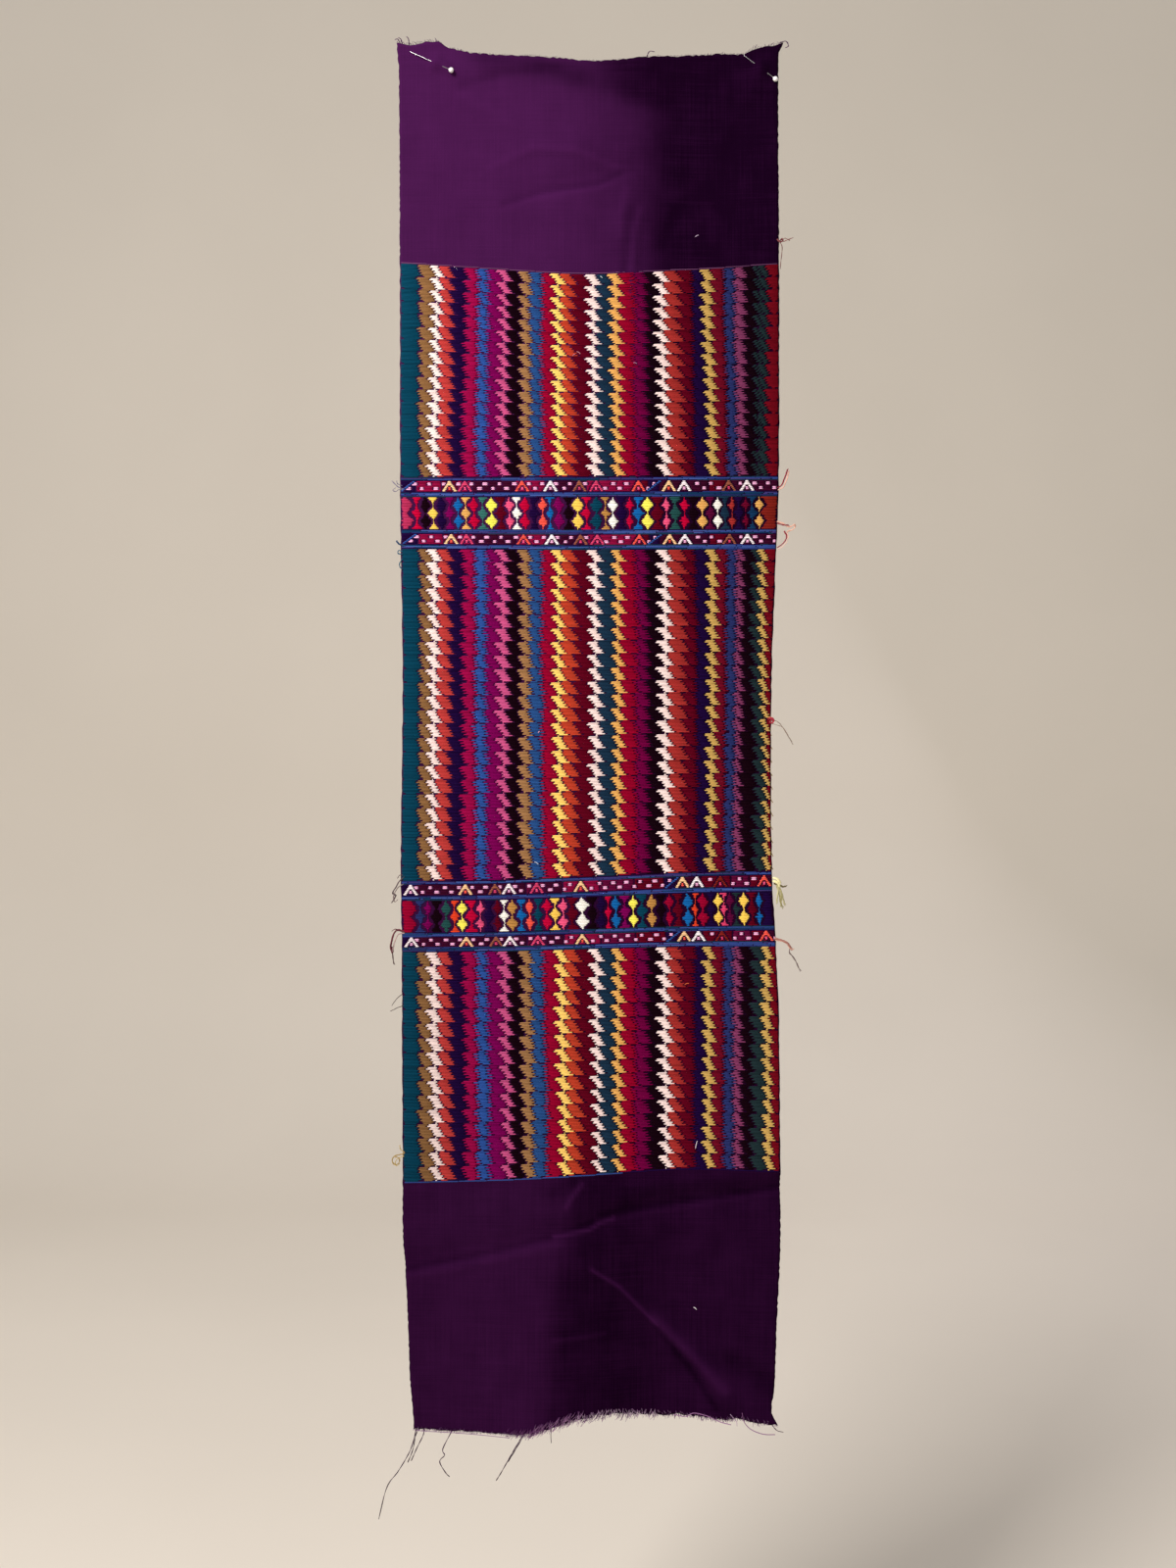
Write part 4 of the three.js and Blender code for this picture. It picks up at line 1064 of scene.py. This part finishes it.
hair = {
    "scatter": 0.004, "start": (-0.15, 0.9), "lengthSpread": (0.4, 1.1), "leanSpread": 0.25,
    "alongSpread": (0.6, 0.9), "toneSpread": (0.6, 1.1),
    "clearance": 0.7, "lift": (0.1, 0.7),  # from the cloth's middle layer
    "width": 0.75, "taper": 0.3,
}
looseWeft = {"clearance": 0.9, "pointsPerPlace": 6}
longEnd = {"pointsPerMove": 4, "turn": 0.9, "flatness": 0.6, "opening": 0.28, "plyWidth": 0.58}


def frayedEnd(name, edge, way, fray, replaced):
    rng = np.random.default_rng(fray["seed"])
    lengthAt = curveThrough(fray["lengths"])
    leanAt = curveThrough(fray["leans"])
    clumpCount = strand["clumps"] + 2
    clumps = rng.uniform(*strand["clumpSpread"], clumpCount)
    steps = np.linspace(0, 1, strand["steps"])
    threads = []
    for i in range(fray["count"]):
        share = (i + rng.uniform(*strand["place"])) / fray["count"]
        share = np.clip(share, strand["margin"], 1 - strand["margin"])
        z = edge(share) - way * strand["rootDepth"]
        x, forward = onCloth(share, z)
        root = np.array([x, -forward, z])
        clump = np.interp(share * strand["clumps"], np.arange(clumpCount), clumps)
        length = lengthAt(share) * rng.uniform(*strand["lengthSpread"]) * clump + strand["shortest"]
        lean = leanAt(share) + rng.normal(0, strand["leanSpread"])
        curl = rng.normal(0, strand["curl"])
        depth = rng.uniform(*strand["depth"])
        path = root + np.stack([
            length * (lean * steps ** 1.6 + curl * np.sin(3 * steps)), length * depth * steps ** 1.5,
            way * length * (steps - strand["droop"] * abs(lean) * steps ** 2),
        ], -1)
        widths = fray["width"] * rng.uniform(*strand["widthSpread"]) * (1 - strand["taper"] * steps)
        tone = rng.uniform(*strand["toneSpread"])
        threads.append((path, widths, shaded(fade(fray["root"], fray["end"], len(steps)), tone)))
    for fromShare, toShare, count, reach, lean, start, end in fray["over"]:
        for share in np.linspace(fromShare, toShare, count) + rng.normal(0, hair["scatter"], count):
            z = edge(share) - way * rng.uniform(*hair["start"]) * reach
            length = reach * rng.uniform(*hair["lengthSpread"])
            across = onCloth(share, z)[0] + length * (lean + rng.normal(0, hair["leanSpread"])) * steps
            along = z + way * length * rng.uniform(*hair["alongSpread"]) * steps
            lift = rng.uniform(*hair["lift"]) * np.sin(2.6 * steps)
            y = -forwardAt(across, along) - hair["clearance"] - lift
            tone = rng.uniform(*hair["toneSpread"])
            threads.append((
                np.stack([across, y, along], -1), fray["width"] * hair["width"] * (1 - hair["taper"] * steps),
                shaded(fade(start, end, len(steps)), tone),
            ))
    for colour, width, places in fray["weft"]:
        path = smoothPath([[x, 0, z] for x, z in places], looseWeft["pointsPerPlace"] * len(places))
        path[:, 1] = -forwardAt(path[:, 0], path[:, 2]) - looseWeft["clearance"]
        threads.append((path, width, np.array(toLinear(colour))))
    for share, moves in fray["long"]:
        z = edge(share) + way
        x, forward = onCloth(share, z)
        root = np.array([x, -forward, z])
        inside = root - [0, 0, 2 * way]
        path = [inside, root] + [root + [dx, dy, dz] for dx, dz, dy in moves]
        count = longEnd["pointsPerMove"] * len(path)
        path = smoothPath(path, count)
        for ply in (-1, 1):  # two plies turn round each other
            turn = np.linspace(0, count * longEnd["turn"], count) + ply * np.pi / 2
            twist = np.stack([np.cos(turn), np.sin(turn) * longEnd["flatness"], np.zeros(count)], -1)
            twist = twist * longEnd["opening"]
            threads.append((path + twist, longEnd["plyWidth"], fade(fray["root"], fray["longEnd"], count)))
    return addPiece(name, threadMesh(name, threads, 3), frayed, [replaced])


fringes = [
    frayedEnd("topFray", lines["topEdge"], 1, topFray, "top_fray"),
    frayedEnd("hemFringe", lines["hem"], -1, hemFray, "hem_fringe"),
]

# Loose ends of brocade yarn: name, slot and strands. A strand has its colour, the width and opening of its
# plies, how many there are, and then its path, x and z in turn.
looseEnds = [
    ["right_1", "red_yarn", [
        ["#7a4448", 0.9, 0.5, 3, 163.2, -154.7, 165.8, -157.2, 167.9, -156.4, 167, -154.7, 165.3, -156.4],
        ["#8c5e5c", 0.7, 0.3, 2, 164.9, -156.4, 169.2, -156.8, 172.5, -155.5, 176.8, -153.8],
        ["#8c5e5c", 0.5, 0.2, 2, 166.6, -155.5, 170, -154.3, 174.2, -156.4],
        ["#7a5a58", 0.6, 0.2, 2, 165.3, -156.4, 167.4, -161.5, 167, -168.3, 166.2, -175.1, 165.8, -181],
    ]],
    ["right_2", "red_yarn", [
        ["#8a2a3c", 0.9, 0.5, 3, 163.2, -370.6, 167, -368.1, 169.2, -362.9, 170.8, -358.7, 172.1, -354.4],
        ["#e6b4a4", 0.8, 0.5, 3, 164, -372.3, 168.3, -369.8, 170.8, -364.6, 172.1, -360.4, 173, -356.1],
    ]],
    ["right_3", "red_yarn", [
        ["#e0b09c", 0.9, 0.5, 3, 163.2, -399.5, 168.3, -401.6, 171.7, -403.8, 175.1, -404.2, 177.7, -402.5,
         178.5, -404.6, 175.9, -407.1, 171.7, -408.4],
        ["#94404a", 0.8, 0.4, 2, 163.2, -401.2, 168.3, -402.9, 171.7, -402.9, 174.2, -404.6],
        ["#94404a", 0.9, 0.4, 3, 169.2, -408, 171.3, -412.2, 170, -416.5, 167, -419.9, 163.2, -422.4],
        ["#e6bcac", 0.6, 0.3, 2, 171.7, -408.8, 172.5, -413.1, 170.8, -418.2, 166.6, -422.4, 163.2, -424.1],
    ]],
    ["right_4", "red_yarn", [
        ["#b03a48", 0.8, 0.4, 4, 154.7, -570.4, 158.5, -570.0, 160.2, -572.4, 158.7, -574.6, 156.6, -573.4,
         158.1, -571.6],
        ["#9c3c48", 0.7, 0.4, 3, 155.4, -571.2, 158.0, -570.8, 159.4, -572.8, 158.0, -574.4, 156.8, -572.6,
         159.6, -572.0],
        ["#8e7c70", 0.5, 0.15, 2, 158.1, -571.2, 164, -573.8, 168.3, -578.9, 171.7, -584.8, 175.9, -590.8],
        ["#9a887c", 0.45, 0.12, 2, 157.2, -574.6, 163.2, -576.3, 167.4, -578, 170.8, -582.2, 173.4, -587.4,
         176.8, -593.3],
    ]],
    ["right_5", "yellow_yarn", [
        ["#f4ecba", 0.9, 0.7, 5, 159.4, -708.6, 162.4, -709.2, 164.6, -711.2, 166, -713.8],
        ["#efe8b4", 0.9, 0.7, 5, 159.4, -711.4, 162.2, -712.2, 164.4, -714, 165.6, -716.2],
        ["#6e6240", 0.9, 0.5, 3, 160.4, -713.6, 164.4, -714.6, 168, -716.2, 171.2, -715.6],
        ["#c8c294", 0.8, 0.5, 3, 160.7, -710.6, 164, -717.4, 163.2, -724.2, 162.8, -731],
        ["#b4ac7c", 0.8, 0.5, 3, 161.5, -711.4, 165.8, -719.1, 166.6, -725.9, 166.2, -733.5],
        ["#bcb588", 0.8, 0.5, 3, 162.3, -712.3, 166.6, -720.8, 168.3, -727.6, 170, -732.7],
        ["#a49c6c", 0.7, 0.5, 3, 162.3, -714, 164.9, -722.5, 165.8, -729.3, 168.3, -735.2],
    ]],
    ["right_6", "mauve_yarn", [
        ["#b98478", 0.9, 0.6, 4, 160.7, -760.8, 167.4, -762.9, 171.7, -765, 174.2, -768.4, 175.9, -770.9],
        ["#dcae9c", 0.7, 0.5, 2, 161.5, -762.4, 169.2, -764.1, 172.5, -766.7, 175.1, -770.5, 177.7, -770.1],
        ["#6e5c5a", 0.7, 0.3, 2, 174.2, -768.4, 173.8, -773.5, 175.9, -776, 179.3, -781.1, 181.5, -786.2,
         183.6, -789.6],
    ]],
    ["left_1", "grey_blue_yarn", [
        ["#7c7490", 0.6, 0.2, 2, -160.7, -371.4, -164.9, -370.2, -168.3, -367.2, -170.8, -364.6],
        ["#8a8298", 0.55, 0.2, 2, -160.7, -372.3, -164.9, -372.3, -167.4, -374, -170, -372.7,
         -167.4, -370.6],
        ["#7c7490", 0.55, 0.15, 2, -161.5, -368.9, -165.8, -367.2, -166.6, -364.6],
    ]],
    ["left_2", "grey_blue_yarn", [
        ["#2e4a70", 0.85, 0.4, 3, -158.9, -420.8, -162.3, -420.3, -164.9, -419.1, -167, -416.5],
        ["#2c5a74", 0.75, 0.3, 2, -161.5, -425.8, -164.9, -425, -165.3, -427.6, -161.5, -428.4],
        ["#2c5a74", 0.75, 0.3, 2, -161.5, -431.8, -164, -436.1, -163.6, -439.4, -161.5, -441.1],
    ]],
    ["left_3", "mauve_yarn", [
        ["#5c4c50", 0.85, 0.5, 3, -159.8, -707.2, -164.9, -712.3, -166.6, -715.7, -170, -721.6,
         -167.4, -724.2, -170.8, -730.1],
        ["#8a7a78", 0.75, 0.4, 2, -160.7, -714, -165.8, -717.4, -169.2, -724.2, -168.3, -729.3,
         -165.8, -727.6],
        ["#5c4c50", 0.6, 0.3, 2, -160.7, -706.4, -164, -706.4, -165.8, -708.9],
    ]],
    ["left_4", "red_yarn", [
        ["#6c3a42", 1.1, 0.6, 4, -159.8, -755.6, -165.8, -753.9, -169.2, -757.4, -170.8, -763.3,
         -171.7, -768.4, -170, -773.5],
        ["#b49a98", 0.85, 0.4, 3, -159.8, -756.5, -164.9, -757.4, -167.4, -761.6, -169.2, -767.5,
         -170, -772.6],
        ["#5a4244", 0.75, 0.3, 2, -170.8, -768.4, -170, -776, -169.2, -782, -168.3, -783.7],
        ["#6c3a42", 0.6, 0.2, 2, -161.5, -755.6, -167.4, -753.1, -170.8, -754.8],
    ]],
    ["left_5", "mauve_yarn", [
        ["#4e4440", 0.6, 0.15, 2, -161.5, -809.2, -165.8, -812.6, -169.2, -816.9, -170.8, -819.4],
        ["#4e4440", 0.6, 0.15, 2, -160.7, -819.4, -165.8, -821.1, -169.2, -822.8, -172.1, -824.1],
    ]],
    ["left_6", "beige_yarn", [
        ["#a88c50", 0.75, 0.3, 2, -159.8, -947.8, -164.9, -948.6, -168.7, -949.9, -170.4, -952.9,
         -169.2, -956.2, -166.2, -956.7, -164, -954.1, -164.9, -951.1, -168.3, -950.3],
        ["#c8b078", 0.65, 0.3, 2, -159.8, -946.9, -163.2, -943.5, -164, -940.1],
        ["#c8b078", 0.65, 0.3, 2, -159.8, -949.4, -165.8, -952, -167.9, -955.4, -166.6, -957.9,
         -164, -956.2],
    ]],
]
floss = {
    "pointsPerPlace": 5,
    "start": 0.5, "bulge": 1.3,  # in front of the cloth's middle layer
    "turn": 2.2, "opening": (0.6, 1.1),  # it opens into its plies towards the end
    "taper": (1, 0.65), "toneSpread": (0.8, 1.15),
}


def looseEnd(name, slotName, strands, rng):
    threads = []
    for colour, width, opening, plies, *path in strands:
        places = np.reshape(path, (-1, 2))
        count = floss["pointsPerPlace"] * len(places)
        path = smoothPath([[x, 0, z] for x, z in places], count)
        along = np.linspace(0, 1, count)
        path[:, 1] = -forwardAt(*places[0]) - floss["start"] - floss["bulge"] * np.sin(2.4 * along)
        for ply in range(plies):
            turn = along * floss["turn"] * len(places) + ply * 2 * np.pi / plies
            twist = np.stack([np.cos(turn), np.sin(turn), np.sin(turn + 1)], -1)
            twist *= opening * between(*floss["opening"], along)[:, None]
            tint = shaded(np.array(toLinear(colour)), rng.uniform(*floss["toneSpread"]))
            threads.append((path + twist, width * between(*floss["taper"], along), tint))
    piece = "loose_end_" + name
    return addPiece(name.replace("_", "") + "LooseEnd", threadMesh(piece, threads), frayed, [piece])


looseRandom = np.random.default_rng(71)
fringes += [looseEnd(*row, looseRandom) for row in looseEnds]


# Yarn turns on the back: where a colour ends, its yarn steps down to the next pick
def backTurns():
    step = {"half": 2.6, "height": 0.9, "wander": 0.35, "clearance": 0.12, "width": 0.95, "shade": 0.8}
    threads = []
    rng = np.random.default_rng(81)
    for upper, lower, repeats, *rest in fields:
        for row in zigzagColumns[:-1]:
            rows = np.repeat(np.arange(repeats), 2) / repeats
            rows[1::2] += step["height"] / repeats
            middle = between(lines[upper](0.5), lines[lower](0.5), 0.5)
            share = shareOf(np.interp(middle, zigzagHeights, row[1:-2]), middle)
            z = between(lines[upper](share), lines[lower](share), rows)
            x = np.interp(z, zigzagHeights, row[1:-2]) + np.tile([-step["half"], step["half"]], repeats)
            x += rng.normal(0, step["wander"], len(x))
            y = -forwardAt(x, z) + hanging["thickness"] / 2 + step["clearance"]
            threads.append((np.stack([x, y, z], -1), step["width"], shaded(dyes[row[0]], step["shade"])))
    mesh = threadMesh("backTurns", threads, sides=3)
    return addPiece("backTurns", mesh, brocadeFloss)


brocade.append(backTurns())

# Bits of lint and short yarn ends on the face: x, z, step across, step down, colour
lint = [
    [94, -151, 3.0, 1.4, "#c9b2cc"], [92.2, -1083.5, 2.6, -1.9, "#f2e8f0"], [93, -940, 1.6, 6.5, "#e8dce4"],
    [-9, -254, 3.2, -2.0, "#d08a9c"], [-13, -256, 2.2, 1.6, "#c07a90"], [40, -263, 3.0, -0.8, "#b07aa0"],
    [-43.3, -582.5, 1.4, 1.2, "#f0a8c0"], [-115.5, -180.5, 3.0, -2.2, "#f6eef2"],
    [10.6, -188.3, 1.8, -1.2, "#cfe0e6"], [-45.5, -696, 3.4, -2.0, "#cfd8ea"],
    [84.9, -800.7, 3.6, 0.9, "#e06a40"],
]


def lintThreads():
    bit = {"width": 0.6, "bend": 0.6, "plainClearance": 0.72, "brocadeClearance": 1.5}
    brocadeBottom, brocadeTop = -970, -184
    threads = []
    steps = np.linspace(-0.5, 0.5, 7)
    for x, z, across, down, colour in lint:
        acrossPath, downPath = x + across * steps, z + down * steps + np.cos(3 * steps) * bit["bend"]
        under = "brocade" if brocadeBottom < z < brocadeTop else "plain"
        y = -forwardAt(acrossPath, downPath) - bit[under + "Clearance"]
        threads.append((np.stack([acrossPath, y, downPath], -1), bit["width"], np.array(toLinear(colour))))
    return addPiece("lint", threadMesh("lint", threads), frayed)


fringes.append(lintThreads())


# Nickel plated steel wire, drawn and polished: fine lines along it, sharp reflections
def drawnSteel():
    finish = {"Base Color": toLinear("#b8b4b8"), "Metallic": 1.0, "Roughness": 0.3}
    material, tree, shader = newMaterial("drawn and polished steel wire", finish)
    drawn = {"length": 6, "width": 0.2}  # of its drawing lines, which run along the wire
    sizes = drawn["length"], drawn["width"], drawn["width"]
    place = addNode(tree, "TexCoord")
    grain = addNode(tree, "Mapping", {"Scale": grainScale(*sizes)}, {"Vector": place.outputs["Object"]})
    scratches = addNode(
        tree, "TexNoise", {"Scale": 1.0, "Detail": 2.0}, {"Vector": grain.outputs["Vector"]},
    )
    rough = addNode(
        tree, "MapRange", {"From Min": 0.3, "From Max": 0.7, "To Min": 0.22, "To Max": 0.4},
        {"Value": scratches.outputs["Fac"]},
    )
    tree.links.new(rough.outputs["Result"], shader.inputs["Roughness"])
    return material


# Polystyrene, moulded and dipped: glossy white with a slight unevenness in its gloss
def mouldedHead():
    finish = {"Base Color": toLinear("#f6f2f0"), "Roughness": 0.2, "IOR": 1.59, "Coat Weight": 0.3}
    material, tree, shader = newMaterial("glossy moulded polystyrene", finish)
    look = {"rippleSize": 1.4, "rippleDepth": 0.03}
    size = look["rippleSize"]
    place = addNode(tree, "TexCoord")
    grain = addNode(
        tree, "Mapping", {"Scale": grainScale(size, size, size)}, {"Vector": place.outputs["Object"]},
    )
    ripple = addNode(tree, "TexNoise", {"Scale": 1.0, "Detail": 1.0}, {"Vector": grain.outputs["Vector"]})
    bump = addNode(
        tree, "Bump", {"Strength": 0.3, "Distance": look["rippleDepth"] * mm},
        {"Height": ripple.outputs["Fac"]},
    )
    tree.links.new(bump.outputs["Normal"], shader.inputs["Normal"])
    return material


# Closed turned form along an axis, from rings of distance and radius
def turnedMesh(name, start, axis, profile, sides):
    path = np.array([np.array(start) + np.array(axis) * distance for distance, radius in profile])
    widths = np.array([2 * radius for distance, radius in profile])
    return threadMesh(name, [(path, widths, np.ones(4))], sides)


def dressPins():
    size = {
        "radius": 0.3, "headRadius": 2.2, "headStand": 3.2, "tipStand": 1.3,
        "pointLength": 3.0, "blunt": 0.03, "inHead": 0.2,
        # The plastic draws out a little along the wire: distance from the ball's middle, and radius
        "collarStart": 2.1, "collar": [(2.28, 0.62), (2.5, 0.5), (2.62, 0.4)],
    }
    steel, plastic = drawnSteel(), mouldedHead()
    for name, pin in pins.items():
        ends = []
        for place, stand in ((pin["head"], size["headStand"]), (pin["tip"], size["tipStand"])):
            forward = float(foldsAt(np.array(place[0]), np.array(place[1]), name))
            ends.append(np.array([place[0], -forward - stand, place[1]]))
        head, tip = ends
        length = np.linalg.norm(tip - head)
        axis = (tip - head) / length
        inner, point = size["headRadius"] - size["inHead"], length - size["pointLength"]
        taper = [
            (point + size["pointLength"] * t, size["radius"] * (1 - t ** 1.6) + size["blunt"])
            for t in (0, 0.2, 0.4, 0.6, 0.8, 0.93, 1)
        ]
        shank = [(inner + (point - inner) * t, size["radius"]) for t in (0, 0.25, 0.5, 0.75)] + taper
        turns = np.linspace(0.04, np.pi - 0.04, 21)
        ball = [(-size["headRadius"] * np.cos(t), size["headRadius"] * np.sin(t)) for t in turns]
        ball = [ring for ring in ball if ring[0] < size["collarStart"]] + size["collar"]
        shankMesh = turnedMesh(name + "Shank", head, axis, shank, 12)
        headMesh = turnedMesh(name + "Head", head, axis, ball, 28)
        addPiece(name + "PinShank", shankMesh, steel, [f"pin_{name}_shank"])
        addPiece(name + "PinHead", headMesh, plastic, [f"pin_{name}_head"])


dressPins()

# Pale seamless floor that sweeps up behind
studio = {"floorHeight": -1.55, "halfWidth": 4.5, "front": -4.0, "back": 3.0, "sweep": 0.9, "top": 5.0}


def seamlessFloor():
    turn = np.linspace(0, np.pi / 2, 13)
    y = np.concatenate([[studio["front"]], studio["back"] + studio["sweep"] * (np.sin(turn) - 1)])
    z = np.concatenate([[0], studio["sweep"] * (1 - np.cos(turn))])
    y, z = np.append(y, studio["back"]), np.append(z, studio["top"]) + studio["floorHeight"]
    points = [(side * studio["halfWidth"], a, b) for side in (-1, 1) for a, b in zip(y, z)]
    count = len(y)
    faces = [(i, i + count, i + count + 1, i + 1) for i in range(count - 1)]
    mesh = bpy.data.meshes.new("floor")
    mesh.from_pydata(points, [], faces)
    mesh.shade_smooth()
    # Matt painted board: only a faint mottle shows
    material, tree, shader = newMaterial("matt painted board", {"Roughness": 0.9, "Specular IOR Level": 0.2})
    place = addNode(tree, "TexCoord")
    blotches = addNode(tree, "TexNoise", {"Scale": 1.4, "Detail": 3.0}, {"Vector": place.outputs["Object"]})
    colour = addNode(
        tree, "MixRGB", {"Color1": toLinear("#e2dace"), "Color2": toLinear("#ece4d8")},
        {"Fac": blotches.outputs["Fac"]},
    )
    tree.links.new(colour.outputs[0], shader.inputs["Base Color"])
    mesh.materials.append(material)
    floor = bpy.data.objects.new("floor", mesh)
    scene.collection.objects.link(floor)


seamlessFloor()

# Soft light from the upper left in front, and a weak fill all round
lamps = {
    "key": {
        "at": (-1.3, -1.7, 1.0), "aim": (-0.1, 0.0, -0.45), "size": 0.9, "power": 88, "colour": "#fffaf6",
    },
    "fill": {
        "at": (1.6, 2.2, 0.3), "aim": (0.0, 0.0, -0.6), "size": 1.6, "power": 14, "colour": "#f4f2ff",
    },
}
for name, lamp in lamps.items():
    data = bpy.data.lights.new(name, "AREA")
    data.size = lamp["size"]
    data.energy = lamp["power"]
    data.color = toLinear(lamp["colour"])[:3]
    lampObject = bpy.data.objects.new(name, data)
    lampObject.location = lamp["at"]
    direction = Vector(lamp["aim"]) - Vector(lamp["at"])
    lampObject.rotation_euler = direction.to_track_quat("-Z", "Y").to_euler()
    scene.collection.objects.link(lampObject)
surround = {"Color": toLinear("#f4f2f0"), "Strength": 0.43}
world = bpy.data.worlds.new("studio")
world.use_nodes = True
for name, value in surround.items():
    world.node_tree.nodes["Background"].inputs[name].default_value = value
scene.world = world
